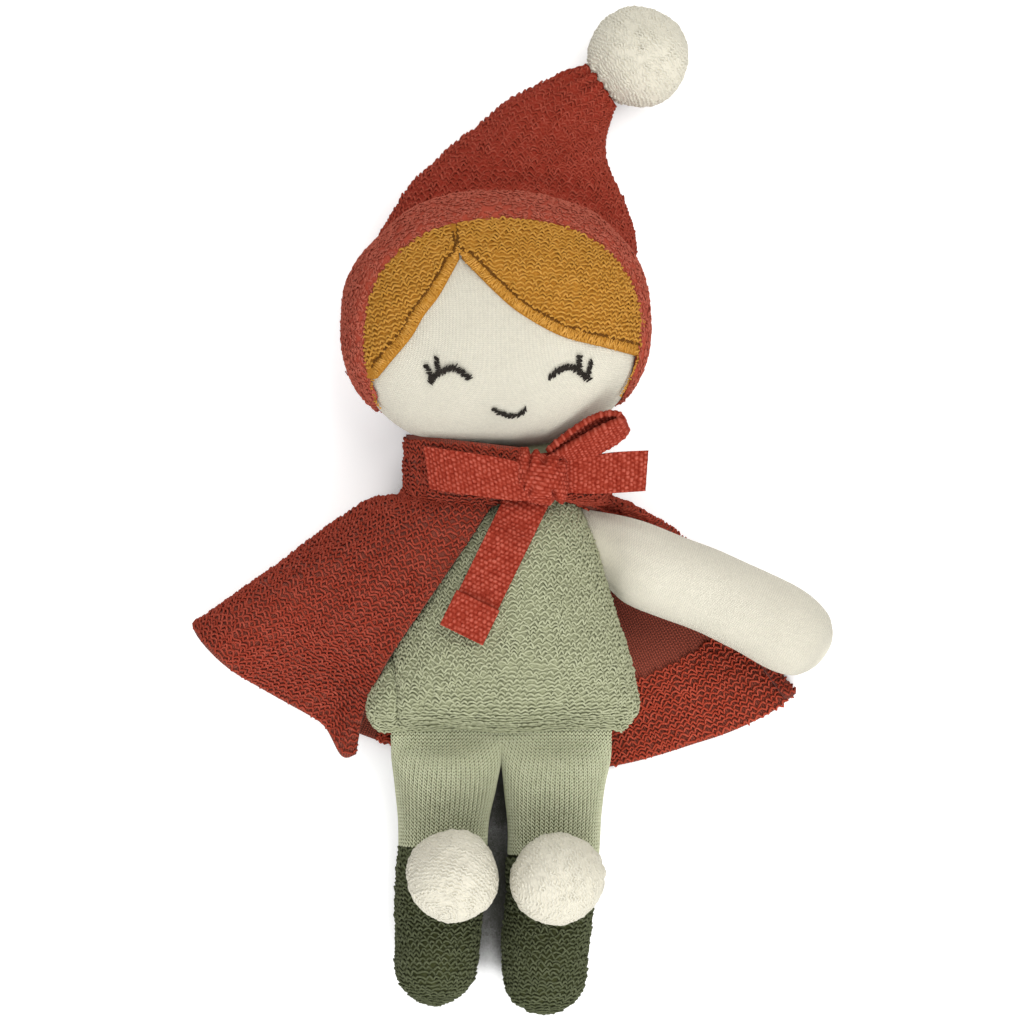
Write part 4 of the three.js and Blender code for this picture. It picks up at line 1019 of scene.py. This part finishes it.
def hat_stations():
    """Rings of the hat, from its skirt under the hood to its narrow tip."""
    out = list(HAT_SKIRT)
    (wide, narrow), (deep, shallow) = HAT_WIDTHS, HAT_DEPTHS
    for share in np.linspace(0, 1, 9):
        bend = share**2.1
        width = wide + (narrow - wide) * share**1.04
        depth = deep + (shallow - deep) * share**0.8 + 4 * math.sin(math.pi * share) ** 2
        x = HEAD[0] + 2.9 + (24.5 - 2.9) * bend
        y = HAT_BASE[0] + (HAT_TIP[1] - HAT_BASE[0]) * share**0.92
        z = HAT_BASE[1] + (HAT_TIP[2] - HAT_BASE[1]) * share**0.7
        out.append([x, y, z, -58 * share**3, width / 2, depth / 2])
    return out


def make_hat():
    """The hat's cone with its fold, creases and gathered tip."""
    p = even_rings(rings(hat_stations(), 140, 150), 130)
    n = facing(p, True)
    x, y, z = p[..., 0:1], p[..., 1:2], p[..., 2:3]
    front = smoothstep(z, 14, 24)
    fold = 1.7 * np.exp(-(((y - 97.2 + 0.012 * (x + 3) ** 2) / 3.2) ** 2)) * front
    creases = 0.0
    for middle, slope, width, deep in ((8.5, -0.16, 2.4, 0.9), (15.5, 0.1, 1.9, 0.7), (3.0, 0.5, 3.0, 0.6)):
        line = (x - middle - slope * (y - 110)) / width
        creases = creases + deep * np.exp(-(line**2)) * smoothstep(y, 98, 108) * front
    gathers = 0.5 * np.sin(np.arange(150) / 150 * TAU * 13)[None, :, None] * smoothstep(y + 0.5 * x, 122, 130)
    p = p + n * (lumps(p, 11, 1.0, 5) - fold - creases + gathers)
    p[..., 2] = np.maximum(p[..., 2], CLOTH_FLOOR)
    n = facing(p, True)
    skin = stuffed("hat_cloth", p, red_backing)
    blended = ("head", "hat_tip", *HAT_RAMP)
    keep_piece(skin, None, "red_terry", ["hat_cone", "hat_tip"], blended, 0.6)
    rows = loops("hat_loops", p, n, True, red_yarn, 51, lift=-0.15, keep=lambda q: q[:, 1] > 76)
    keep_piece(rows, None, "red_terry", (), blended)


# Poms
HAT_POM = np.array([28.45, 126.9, 11.2])
HAT_POM_WIDTH = 23.2
BOOT_POM_WIDTH = 20.8
POM_RINGS = 60
POM_SIDES = 96
POM_KNIT = {"pitch": 0.86, "wave": 1.3, "radius": 0.34, "height": 0.26, "rise": 0.1, "lift": -0.16}


def ball_grid(centre, radius, axis, seed, gather):
    """A knitted ball drawn in at one end of its axis."""
    axis = unit(np.asarray(axis, float))
    side = unit(np.cross(axis, [0.3, 0.2, 1.0]))
    other = np.cross(axis, side)
    theta = np.linspace(0.02, math.pi - 0.02, POM_RINGS + 1)[:, None, None]
    phi = (TAU * np.arange(POM_SIDES) / POM_SIDES)[None, :, None]
    d = np.cos(theta) * axis + np.sin(theta) * (np.cos(phi) * side + np.sin(phi) * other)
    pleat = gather * np.sin(9 * phi) * np.exp(-((theta / 0.55) ** 2)) * np.sin(theta)
    p = centre + d * (radius + pleat)
    return p + d * lumps(p, radius * 0.9, 0.8, seed)


def make_pom(name, centre, diameter, axis, body, node, seed):
    """A knitted ball sewn to the hat or a boot."""
    p = ball_grid(centre, diameter / 2, axis, seed, 0.9)
    p[..., 2] = np.maximum(p[..., 2], POM_FLOOR)
    n = facing(p, True)
    keep_piece(stuffed(f"{name}_ball", p, pom_jersey), body, "pom_knit", [node], fill=0.95)
    keep_piece(loops(f"{name}_knit", p, n, True, pom_yarn, seed + 60, **POM_KNIT), body, "pom_knit")


# Arms
ARM_Y = TORSO_BOTTOM + 40.8
RIGHT_ARM_SHARE = 0.93
FLAP_RAMP = ((-0.024, 0.0, 0.02), (-0.0495, 0.0, 0.02))
# an arm from its seam to the hand: distance, share of its turn made, half width and half depth
ARM_SHAPE = [
    (0, 0, 9.8, 1.2),
    (2.2, 0.12, 9.8, 2.6),
    (8, 0.55, 9.7, 6.84),
    (15, 0.9, 9.6, 9.12),
    (22, 1, 9.6, 9.5),
    (30, 1, 9.6, 9.5),
    (39, 1, 9.7, 9.5),
    (48.6, 1, 9.8, 9.6),
    (54.5, 1, 8.4, 8.3),
    (57.2, 1, 6.1, 6.0),
    (58.5, 1, 4.0, 3.9),
    (59.1, 1, 2.2, 2.1),
    (59.3, 1, 0, 0),
]


def shoulder_point(side, y, out):
    """X of the torso's side seam at one place along the doll, moved outwards."""
    s = np.array(TORSO_STATIONS)
    centre, half = (np.interp(y, s[:, 1], s[:, c]) for c in (0, 4))
    return centre + side * (half + out)


def arm_stations(side):
    """Rings of an arm, flat at the side seam and round towards the hand."""
    shorter = 1 if side > 0 else RIGHT_ARM_SHARE
    top, bottom = shoulder_point(side, ARM_Y + 8.2, 0), shoulder_point(side, ARM_Y - 8.2, 0)
    seam_turn = math.degrees(math.atan2(16.4, top - bottom))
    hand_z = CLOTH * 2 + GAP + 9.5
    place = np.array([shoulder_point(side, ARM_Y + 0.8, -0.7), ARM_Y + (1.3 if side > 0 else 0)])
    last = 0
    out = []
    for distance, turned, width, depth in ARM_SHAPE:
        drop_degrees = 19.5 + 12 * (distance / 57) ** 2 if side > 0 else 23.5
        drop = math.radians(drop_degrees)
        place = place + np.array([side * math.cos(drop), -math.sin(drop)]) * (distance - last) * shorter
        last = distance
        square_turn = 90 - side * drop_degrees
        z = TORSO_MIDDLE + (hand_z - TORSO_MIDDLE) * float(smoothstep(distance * shorter, 0, 46.6))
        out.append([*place, z, seam_turn + (square_turn - seam_turn) * turned, width, depth])
    return out


def make_arm(side, name):
    """An arm of jersey, puckered where it is sewn on."""
    p = even_rings(rings(arm_stations(side), 160, 72), 90)
    n = facing(p, True)
    root = p[0].mean(axis=0)
    away = np.linalg.norm(p - root, axis=-1, keepdims=True)
    pucker = 0.12 * np.sin(np.arange(72) / 72 * TAU * 11)[None, :, None] * np.exp(-(((away - 10) / 5) ** 2))
    p = p + n * (lumps(p, 13, 0.4, 7 + side) + pucker)
    skin = stuffed(f"arm_{name}_tube", p, cream_jersey)
    # the knit runs out at the rounded hand, where its columns would crowd together
    radius = np.linalg.norm(p - p.mean(axis=1, keepdims=True), axis=-1)
    pole = np.concatenate([(1 - smoothstep(radius, 1.5, 7)).ravel(), [0, 1]])
    mark(skin.data, "pole", pole)
    if side > 0:
        keep_piece(skin, f"arm_{name}", "cream_jersey", [f"arm_{name}"], fill=0.85)
    else:
        keep_piece(skin, None, "cream_jersey", [f"arm_{name}"], ("torso", f"arm_{name}", *FLAP_RAMP), 0.85)


# Legs and boots
HIP_Y = TORSO_BOTTOM - 0.4
HIP_HALF = 12.6
LEG_LENGTH = 26.5
LEFT_LEG_LONGER = 2.2
BOOT_LENGTH = 36.8
BOOT_Z = 9.9
LEG_WALES = 58
LEG_COURSE = 0.86
# share of the length, half width, half depth, and how far a boot is still raised
LEG_SHAPE = [
    (0, 12.75, 1.3),
    (0.07, 12.75, 2.0),
    (0.24, 12.65, 6.32),
    (0.45, 11.8, 9.18),
    (0.72, 10.9, 10.2),
    (1, 10.5, 10.0),
]
BOOT_SHAPE = [
    (0, 10.2, 10, 1),
    (0.25, 10, 10, 0.6),
    (0.5, 9.8, 10, 0.2),
    (0.72, 9.4, 10.2, 0),
    (0.86, 7.9, 8.9, 0),
    (0.955, 4.3, 4.9, 0),
    (1, 0, 0, 0),
]


def leg_stations(side):
    """Rings of a leg, flat at the bottom seam and round at the boot."""
    x = torso_centre(TORSO_BOTTOM) + side * HIP_HALF
    length = LEG_LENGTH + (LEFT_LEG_LONGER if side > 0 else 0)
    out = [[x, HIP_Y + 1.3, TORSO_MIDDLE, 0, HIP_HALF, 0.9]]
    for share, width, depth in LEG_SHAPE:
        z = TORSO_MIDDLE + (BOOT_Z + 1.2 - TORSO_MIDDLE) * float(smoothstep(share, 0, 1))
        out.append([x - 0.96 * share, HIP_Y - length * share, z, 0, width, depth])
    return out


def boot_stations(side):
    """Rings of a boot, which goes on from its leg."""
    leg = leg_stations(side)[-1]
    top = leg[1] - GAP
    out = []
    for share, width, depth, raised in BOOT_SHAPE:
        out.append([leg[0] - 2.24 * share, top - BOOT_LENGTH * share, BOOT_Z + raised * 1.2, 0, width, depth])
    return out


def make_leg(side, name):
    """A leg with its boot and the pom on it."""
    body = f"leg_{name}"
    p = even_rings(rings(leg_stations(side), 80, 96), 60)
    p = p + facing(p, True) * (lumps(p, 12, 0.5, 9 + side) - 0.2)
    keep_piece(stuffed(f"leg_{name}_tube", p, leg_backing), body, "sage_jersey", [f"leg_{name}"], fill=0.8)
    rows = knit_stitches(f"leg_{name}_knit", p, facing(p, True), leg_yarn, LEG_WALES, LEG_COURSE, 70 + side)
    keep_piece(rows, body, "sage_jersey")
    p = even_rings(rings(boot_stations(side), 140, 96), 90)
    p = p + facing(p, True) * (lumps(p, 10, 0.8, 12 + side) - 0.1)
    p[..., 2] = np.maximum(p[..., 2], CLOTH_FLOOR)
    keep_piece(stuffed(f"boot_{name}_bag", p, dark_backing), body, "dark_terry", [f"boot_{name}"], fill=0.85)
    rows = loops(f"boot_{name}_loops", p, facing(p, True), True, dark_yarn, 80 + side)
    keep_piece(rows, body, "dark_terry")
    leg = leg_stations(side)[-1]
    drop, across = (4.2, 1.0) if side > 0 else (5.8, 2.6)
    centre = np.array([leg[0] + across, leg[1] - drop, leg[2] + leg[5] + BOOT_POM_WIDTH / 2 - 2.2])
    axis = (1, 0.25, -0.5) if side > 0 else (0.35, 1, -0.6)
    make_pom(f"boot_pom_{name}", centre, BOOT_POM_WIDTH, axis, body, f"boot_pom_{name}", 90 + side)


# Cape. Its grid has a row for each step from the collar to the hem, and a column for each round it.
CAPE_ROWS = 110
CAPE_RINGS = 130
COLLAR_ROWS = 20
FLAP_COLUMNS = 90
BACK_COLUMN_COUNT = 190
DRAPE_TIMES = 500
COLLAR_X, COLLAR_Z, COLLAR_W, COLLAR_D = -2.6, 19.22, 23.0, 17.82
COLLAR_BOTTOM = TORSO_TOP - 11.5 + 1.9
CAPE_TOP = COLLAR_BOTTOM - GAP
FLAP_ROOM = 2.05
FLAP_FOLD = [
    [-26.2, COLLAR_BOTTOM - 1.2, 19],
    [-34.6, CAPE_TOP - 1.9, 13.5],
    [-50.4, CAPE_TOP - 12.7, 4],
    [-65.6, CAPE_TOP - 23.9, 3.4],
    [-75.2, CAPE_TOP - 29.6, 3.4],
]
FLAP_FRONT = [
    [-4.8, COLLAR_BOTTOM - 1.8, 0],
    [-10.6, COLLAR_BOTTOM - 10.8, 0],
    [-19.6, TORSO_BOTTOM + 30.4, 0],
    [-28.6, TORSO_BOTTOM + 17.2, 0],
    [-34.2, TORSO_BOTTOM + 6, 0],
    [-37.0, TORSO_BOTTOM - 3.9, 0],
]


def collar_point(degrees, y, out=0.0):
    """A point on the oval round the collar."""
    a = math.radians(degrees)
    return [COLLAR_X + (COLLAR_W + out) * math.cos(a), y, COLLAR_Z + (COLLAR_D + out) * math.sin(a)]


def collar_top(x):
    """Y of the collar's upper edge."""
    return TORSO_TOP + 1.9 - 0.12 * (x - COLLAR_X)


def arm_front(x, y):
    """Height of the upper face of the covered arm, and zero beside it."""
    height = np.zeros_like(x)
    for cx, cy, cz, _, width, depth in spline(arm_stations(-1), np.linspace(0, 1, 60)):
        away = np.hypot(x - cx, y - cy) / max(width + 2.0, 0.5)
        top = cz + (depth + 2.0) * np.sqrt(np.clip(1 - away**2, 0, 1))
        height = np.maximum(height, np.where(away < 1, top, 0))
    return height


def drape(z, times):
    """Draws a height grid taut over what lies under it, without letting it sink."""
    z = z.copy()
    for _ in range(times):
        edges = (z[:-2, [0, -1]] + z[2:, [0, -1]]) / 2
        z[1:-1, [0, -1]] = np.maximum(z[1:-1, [0, -1]], edges)
        z[-1, 1:-1] = np.maximum(z[-1, 1:-1], (z[-1, :-2] + z[-1, 2:]) / 2)
        middle = (z[:-2, 1:-1] + z[2:, 1:-1] + z[1:-1, :-2] + z[1:-1, 2:]) / 4
        z[1:-1, 1:-1] = np.maximum(z[1:-1, 1:-1], middle)
    return z


def soften(z, times):
    """Evens out a height grid."""
    for _ in range(times):
        q = np.pad(z, 1, mode="edge")
        z = (q[:-2, 1:-1] + q[2:, 1:-1] + q[1:-1, :-2] + q[1:-1, 2:] + 4 * z) / 8
    return z


def flap_grid(rows, columns):
    """The right flap, draped over the arm and the torso."""
    v = np.linspace(0, 1, rows)
    u = np.linspace(0, 1, columns)[None]
    outer, inner = spline(FLAP_FOLD, v), spline(FLAP_FRONT, v)
    hang = smoothstep(v, 0.62, 1)
    inner_z = (torso_front(inner[:, 0], inner[:, 1]) + FLAP_ROOM) * (1 - hang) + 9 * hang
    v = v[:, None]
    corner = np.exp(-(((u - 0.925) / 0.075) ** 2))
    sag = 3.7 * v * 6.75 * u * (1 - u) ** 2.6 + 4.4 * v**5 * corner
    x = outer[:, 0:1] * (1 - u) + inner[:, 0:1] * u
    y = outer[:, 1:2] * (1 - u) + inner[:, 1:2] * u - sag
    rise = np.sin(u * math.pi / 2) ** 0.55
    base = outer[:, 2:3] * (1 - rise) + inner_z[:, None] * rise
    over_arm = arm_front(x, y)
    over_torso = np.where((u > 0.3) & (v < 0.8), torso_front(x, y), 0)
    over_torso = np.where(over_torso > 0, over_torso + FLAP_ROOM, 0)
    z = drape(np.maximum(np.maximum(base, over_arm), over_torso), DRAPE_TIMES)
    wave = 1.9 * v**1.4 * np.sin(u * TAU * 1.9 + 0.9 - 1.4 * v) * np.minimum(4 * u * (1 - u), 1)
    return np.stack([x, y, soften(z, 12) + wave + 2.2 * smoothstep(v, 0.75, 1) * corner], -1)


# Columns of the cape from the collar to its hem, from the outer fold round the back to the left
BACK_COLUMNS = [
    (168, [(-26.2, 24.2, 19), (-34.6, 23.2, 13.5), (-50.4, 12.4, 4), (-65.6, 1.2, 2.8), (-75.2, -4.5, 2.6)]),
    (185, [(-24.8, 24.8, 16), (-31, 21, 6), (-40, 10, 1.6), (-58, -5, 1.3), (-69.5, -12.2, 1.3)]),
    (215, [(-21.4, 24.6, 8), (-25, 17, 1.8), (-34, 2, 1.3), (-46, -13, 1.3), (-53, -22.4, 1.3)]),
    (245, [(-12.3, 24.4, 2.8), (-15, 12, 1.3), (-21, -4, 1.3), (-31, -20, 1.3), (-36, -30.4, 1.3)]),
    (270, [(-2.6, 24.4, 1.6), (-5, 9, 1.3), (-9, -7, 1.3), (-15, -22, 1.3), (-20, -34.6, 1.3)]),
    (295, [(7.1, 24.4, 2.8), (7, 9, 1.3), (9, -7, 1.3), (12, -22, 1.3), (16, -38.6, 1.3)]),
    (325, [(16.6, 24.6, 8), (20, 15, 1.8), (26, 1, 1.3), (34, -15, 1.3), (44.0, -32.0, 1.3)]),
    (350, [(20.6, 24.5, 13), (27.4, 20.4, 4.4), (36.8, 10.6, 1.6), (48, -6, 1.4), (58.4, -26.0, 1.4)]),
    (372, [(20.4, 24.8, 20), (28.0, 21.6, 11.0), (39.6, 14.2, 3.4), (53.2, -3, 1.8), (64.8, -21.4, 2.0)]),
    (398, [(15.6, 24.8, 29.5), (20.9, 22.0, 14.5), (33.8, 14.2, 5.0), (51.2, -4, 3.2), (64.2, -21.8, 3.4)]),
    (419, [(9.6, 25.0, 33.4), (16.9, 22.6, 22.5), (31.6, 13.6, 7.0), (49.8, -4.6, 3.8), (62.9, -22.2, 3.8)]),
]


def cape_grid():
    """Grid of the whole cape, from its collar down, and from the knot round the back to the left."""
    flap = flap_grid(CAPE_ROWS, FLAP_COLUMNS)[:, ::-1]
    back_keys = np.array([points for _, points in BACK_COLUMNS], float)
    u = np.linspace(0, 1, BACK_COLUMN_COUNT)
    spread = spline(back_keys, u)
    v = np.linspace(0, 1, CAPE_ROWS)
    back = np.stack([spline(column, v) for column in spread], 1)
    turns = spline(np.array([[angle] for angle, _ in BACK_COLUMNS]), u)[:, 0]
    angles = np.concatenate([np.linspace(79, 168, FLAP_COLUMNS), turns[1:]])
    fall = np.concatenate([flap, back[:, 1:]], 1)
    collar = []
    for a in angles:
        x = collar_point(a, 0)[0]
        gather = 0.45 * math.sin(math.radians(a) * 22)
        tight = 1.5 * max(0, -math.cos(math.radians(a))) ** 4
        top, bottom = collar_top(x) - 0.4, COLLAR_BOTTOM
        heights = np.linspace(0, 1, COLLAR_ROWS)
        collar.append([collar_point(a, top + (bottom - top) * h, 0.6 - tight + gather * h) for h in heights])
    collar = np.array(collar).transpose(1, 0, 2)
    p = np.concatenate([collar, fall], 0)
    for _ in range(14):
        inner = (p[:-2] + 2 * p[1:-1] + p[2:]) / 4
        rows = np.arange(1, len(p) - 1)
        weight = np.exp(-(((rows - COLLAR_ROWS) / 6.0) ** 2))[:, None, None]
        p[1:-1] = p[1:-1] * (1 - weight) + inner * weight
    for _ in range(6):
        p[:, 84:98] = (p[:, 83:97] + 2 * p[:, 84:98] + p[:, 85:99]) / 4
    return p


def make_cape():
    """The cape's cloth and the loops on it."""
    even = even_rings(cape_grid(), CAPE_RINGS)
    n = facing_up(even, 60, 30)
    low = smoothstep(np.linspace(0, 1, len(even)), 0.2, 0.6)[:, None]
    even = even + n * (lumps(even, 12, 0.4, 15)[..., 0] * low)[..., None]
    even[..., 2] = np.maximum(even[..., 2], CAPE_FLOOR)
    n = facing_up(even, 60, 30)
    cloth = sheet_of("cape_cloth", even[::2], n[::2], 0.4, 0.4, red_inside)
    blended = ("torso", "arm_right", *FLAP_RAMP)
    nodes = ["cape_back", "cape_collar", "cape_shoulder_left", "cape_flap_right"]
    keep_piece(cloth, None, "red_terry", nodes, blended)
    made = []
    # loops outside, and on the hem and the front edge turned in on the left, where the cape lies open
    for name, rows, columns, out, lift, seed in (
        ("loops_front", slice(1, None), slice(0, 150), 1, 0.5, 101),
        ("loops_back", slice(None), slice(149, None), 1, 0.5, 102),
        ("hem_inside", slice(104, 131), slice(150, -4), -1, 0.7, 103),
        ("edge_inside", slice(12, 105), slice(-40, -1), -1, 0.7, 104),
    ):
        part = even[rows, columns]
        # the turned-in cloth takes the lighter red yarn as painted light
        yarn = red_yarn if out > 0 else red_facing
        piece = loops(f"cape_{name}", part, n[rows, columns] * out, False, yarn, seed, lift=lift)
        keep_piece(piece, None, "red_terry", (), blended)
        made.append(piece)
    return cloth, made


# Bow of woven tape
TAPE_GRID = 0.2
TAPE_CELL = 1.1
TAPE_WIDTH = 9.9
KNOT = np.array([5.75, 29.4, 35.6])
KNOT_POWER = 3.2
LOOP_PATH = [
    (8.4, 32.4, 36.6, 0.6), (13.8, 35.0, 38.4, 0.58), (18.4, 37.3, 39.6, 0.55), (22.4, 39.5, 39.9, 0.5),
    (24.7, 41.1, 39.4, 0.35), (23.4, 42.4, 38.6, 0.34), (20.0, 41.8, 38.0, 0.42), (16.0, 39.7, 37.4, 0.45),
    (11.4, 36.9, 36.6, 0.4), (7.6, 34.4, 35.8, 0.3),
]


def tape_piece(path, turns, width, pinch=None):
    """Grid of a length of woven tape along a path. turns are the directions of its width."""
    keys = np.asarray(path, float)
    line = spline(keys, np.linspace(0, 1, 400))
    run = running(line)
    count = int(run[-1] / TAPE_GRID)
    at = np.interp(np.linspace(0, run[-1], count), run, np.linspace(0, 1, 400))
    centre = spline(keys, at)
    across = unit(spline(np.asarray(turns, float), at))
    w = np.linspace(-0.5, 0.5, int(width / TAPE_GRID) + 1)
    narrowing = np.ones(count) if pinch is None else spline(np.asarray(pinch, float)[:, None], at)[:, 0]
    return centre[:, None] + across[:, None] * (w[None, :, None] * width * narrowing[:, None, None])


def weave(high, wide, seed):
    """Relief of plain woven tape on a grid, from 0 to 1. Its threads are not quite even."""
    i, k = np.meshgrid(np.arange(high) * TAPE_GRID, np.arange(wide) * TAPE_GRID, indexing="ij")
    q = np.stack([i, k, np.zeros_like(i)], -1).reshape(-1, 3)
    wander = slow_noise(q, 1.7, seed).reshape(high, wide) * 0.34
    picks = i / (TAPE_CELL * 0.9) + wander
    ends = k / TAPE_CELL + 0.5 * (np.floor(picks) % 2) + 0.6 * wander
    bump = np.abs(np.sin(math.pi * picks)) ** 0.5 * np.abs(np.sin(math.pi * ends)) ** 0.5
    return np.clip(bump * (0.85 + 0.6 * slow_noise(q, 0.9, seed + 1).reshape(high, wide)), 0, 1)


def finish_tape(name, p, body, node, thickness=0.8, blended=None):
    """A length of tape made from its grid."""
    n = facing_up(p, len(p) // 2, p.shape[1] // 2)
    bump = weave(*p.shape[:2], len(name))
    offset = thickness / 2 + 0.34 * bump + lumps(p, 1.2, 0.1, 5)[..., 0]
    obj = sheet_of(name, p, n, offset, offset, tape_weave)
    mark(obj.data, "weave", [bump, bump])
    keep_piece(obj, body, "tape_weave", [node], blended)


def make_band():
    """The band round the collar."""
    shares = np.linspace(0, 1, 7)
    start = COLLAR_X - 46 * 0.333
    path = []
    for share in shares:
        x = start + (KNOT[0] - 11.6 * 0.2 - start) * share
        a = math.degrees(math.acos((x - COLLAR_X) / COLLAR_W))
        path.append(collar_point(a, KNOT[1] + 2.1 - 3.6 * share, 3.0))
    turns = [(-0.14 - 0.06 * share, 1, 0) for share in shares]
    p = tape_piece(path, turns, TAPE_WIDTH, [1, 1, 1, 1, 1, 0.94, 0.78])
    finish_tape("bow_band", p, "torso", "ribbon_band")


def make_tails():
    """The tail to the side, and the long one down the front with its end folded back and sewn."""
    x, y = KNOT[:2]
    path = KNOT + np.array([(2.5, 0, 0.4), (9, 0.2, 0.6), (16, 0.9, -1.0), (24.2, 1.4, -2.8)])
    turns = [(0, 1, 0), (0, 1, 0.05), (0.03, 1, 0), (0.07, 1, -0.05)]
    p = tape_piece(path, turns, TAPE_WIDTH * 0.94, [0.66, 0.86, 1, 1])
    finish_tape("bow_side_tail", p, "torso", "ribbon_tail_side")
    turn = math.radians(244)
    top = (x - 2.6, y - 4.4)
    blended = ("torso", "ribbon_tail", (0.0045, 0.0265, 0.036), (0.0015, 0.0205, 0.036))
    for name, first, last, width, lift, count in (
        ("bow_long_tail", 0, 34.4, TAPE_WIDTH, 1.9, 10),
        ("bow_tail_end", 26.2, 34.9, TAPE_WIDTH + 0.9, 3.2, 5),
    ):
        path = []
        for distance in np.linspace(first, last, count):
            px, py = top[0] + math.cos(turn) * distance, top[1] + math.sin(turn) * distance
            leave = 2.6 * (1 - float(smoothstep(distance, 0, 9)))
            path.append((px, py, float(torso_front(px, py)) + lift + leave))
        p = tape_piece(path, [(-math.sin(turn), math.cos(turn), 0.1)] * count, width)
        finish_tape(name, p, None, "ribbon_tail_down", blended=blended)


def make_loop():
    """The loop: the tape leaves the knot, turns over at its tip and comes back behind."""
    c, s = math.cos(math.radians(27)), math.sin(math.radians(27))
    path = [point[:3] for point in LOOP_PATH]
    turns = [(-s * lean, c * lean, math.sqrt(1 - lean * lean)) for *_, lean in LOOP_PATH]
    p = tape_piece(path, turns, 8.6, [0.6, 0.85, 0.98, 1, 1, 1, 1, 1, 0.9, 0.7])
    finish_tape("bow_loop", p, "torso", "ribbon_loop", thickness=1.1)


def make_knot():
    """The knot: the tape wrapped once round the rest."""
    x, y, z = KNOT
    stations = []
    for share in np.sin(np.linspace(-1, 1, 13) * math.pi * 0.49):
        swell = (1 - abs(share) ** KNOT_POWER) ** (1 / KNOT_POWER)
        width = 5.9 * (0.86 + 0.14 * swell) * swell**0.4
        stations.append([x + 0.1, y + 5.9 * share, z + 0.9, -10, width, 5.6 * swell])
    p = rings(stations, 90, 160, 2.6)
    crease = np.zeros(p.shape[:2])
    across, up = p[..., 0] - x, p[..., 1] - y
    folds = ((-3.6, 0.25, 0.5, 1.5), (-1.2, 0.5, 0.7, 0.9), (2.0, -0.3, 0.6, 0.9), (4.0, 0.15, 0.5, 1.2))
    for shift, slope, width, deep in folds:
        line = (across - shift - slope * up) / width
        crease = crease + deep * np.exp(-(line**2)) * smoothstep(np.abs(up), 0.5, 4)
    bump = weave(*p.shape[:2], 3)
    n = facing(p, True)
    p = p + n * (0.42 * bump - crease)[..., None] + n * lumps(p, 3.4, 0.5, 8)
    knot = stuffed("bow_knot", p, tape_weave)
    mark(knot.data, "weave", np.concatenate([bump.ravel(), [0.5, 0.5]]))
    keep_piece(knot, "torso", "tape_weave", ["ribbon_knot"])


# Light and floor
WHITE = (1, 1, 1, 1)
SKY_LIGHT = 0.72
FLOOR_HALF = 3000
FLOOR_GLOW = 0.4
# floor colour where the painted shadow is full, and where the floor is open
PAINTED_SHADOW_FLOOR = (0.05, 0.05, 0.04, 1)
PALE_FLOOR = (0.86, 0.86, 0.86, 1)
# the painted shadow on the floor between the legs: its place, where it fades out, and how much darker it is
LEG_GAP = (-0.0015, -0.062, 0)
LEG_GAP_EDGE = (0.022, 0.03)
LEG_GAP_SHADE = 0.1
# how open the sky is where the floor takes the full painted shadow, and where it is pale
FLOOR_SHADE = (0.18, 0.35)


def lamp(name, place, size, power, tint=(1, 1, 1)):
    """A round lamp aimed at the doll."""
    light = bpy.data.lights.new(name, "AREA")
    light.shape = "DISK"
    light.size = size
    light.energy = power
    light.color = tint
    obj = link(name, light)
    obj.location = place
    aim = Vector((0, 0.02, 0.02)) - Vector(place)
    obj.rotation_euler = aim.to_track_quat("-Z", "Y").to_euler()


def make_studio():
    """White surroundings, two lamps and the floor, with painted shadow on it."""
    world = bpy.data.worlds.new("studio")
    world.use_nodes = True
    bpy.context.scene.world = world
    sky = Nodes(world.node_tree)
    seen = sky.add("ShaderNodeLightPath").outputs["Is Camera Ray"]
    background = world.node_tree.nodes["Background"].inputs
    background["Color"].default_value = WHITE
    sky.tree.links.new(sky.span(seen, 0.0, 1.0, SKY_LIGHT), background["Strength"])
    lamp("key", place=(0.28, 0.4, 0.95), size=0.6, power=4.9, tint=(1, 0.985, 0.96))
    lamp("fill", place=(0.1, -0.8, 0.6), size=0.9, power=7.2)
    f = Finish("floor", gloss=0.25)
    # the floor glows for the camera, so that it is white; where little sky reaches it, and most of all
    # between the legs, its colour and glow are darkened as painted shadow
    open_sky = f.add("ShaderNodeAmbientOcclusion", {"Distance": 0.03}, samples=16).outputs["AO"]
    away = f.add("ShaderNodeVectorMath", {0: f.place(), 1: LEG_GAP}, operation="DISTANCE").outputs["Value"]
    between = f.span(away, *LEG_GAP_EDGE, LEG_GAP_SHADE, 0.0)
    lit = f.span(open_sky, *(f.math("ADD", between, open_part) for open_part in FLOOR_SHADE))
    f.tree.links.new(f.mix(lit, PAINTED_SHADOW_FLOOR, PALE_FLOOR), f.shader.inputs["Base Color"])
    seen = f.add("ShaderNodeLightPath").outputs["Is Camera Ray"]
    strength = f.math("MULTIPLY", lit, FLOOR_GLOW)
    glow = f.add("ShaderNodeEmission", {"Color": WHITE, "Strength": strength}).outputs[0]
    plain = f.add("ShaderNodeEmission", {"Strength": 0.0}).outputs[0]
    light = f.add("ShaderNodeMixShader", {"Fac": seen, 1: plain, 2: glow}).outputs[0]
    both = f.add("ShaderNodeAddShader", {0: f.shader.outputs[0], 1: light}).outputs[0]
    f.tree.links.new(both, f.tree.nodes["Material Output"].inputs["Surface"])
    square = FLOOR_HALF * np.array([(-1, -1, 0), (1, -1, 0), (1, 1, 0), (-1, 1, 0)])
    mesh_of("floor", square, [(0, 1, 2, 3)], np.zeros((4, 2)), f.material)
    bpy.context.scene.view_settings.view_transform = "Standard"


# The doll
make_studio()
make_torso()
make_head()
make_hood()
make_hair()
make_face()
make_hat()
make_pom("hat_pom", HAT_POM, HAT_POM_WIDTH, (-0.75, -0.6, 0.1), "hat_tip", "hat_pom", 61)
make_arm(1, "left")
make_arm(-1, "right")
make_leg(1, "left")
make_leg(-1, "right")
cape_cloth, cape_parts = make_cape()
make_band()
make_tails()
make_loop()
make_knot()

for obj, body, slot_name, replaced, blended, fill in pieces:
    if blended:
        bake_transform(obj)
    else:
        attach(obj, body)
    if replaced:
        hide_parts(*replaced)
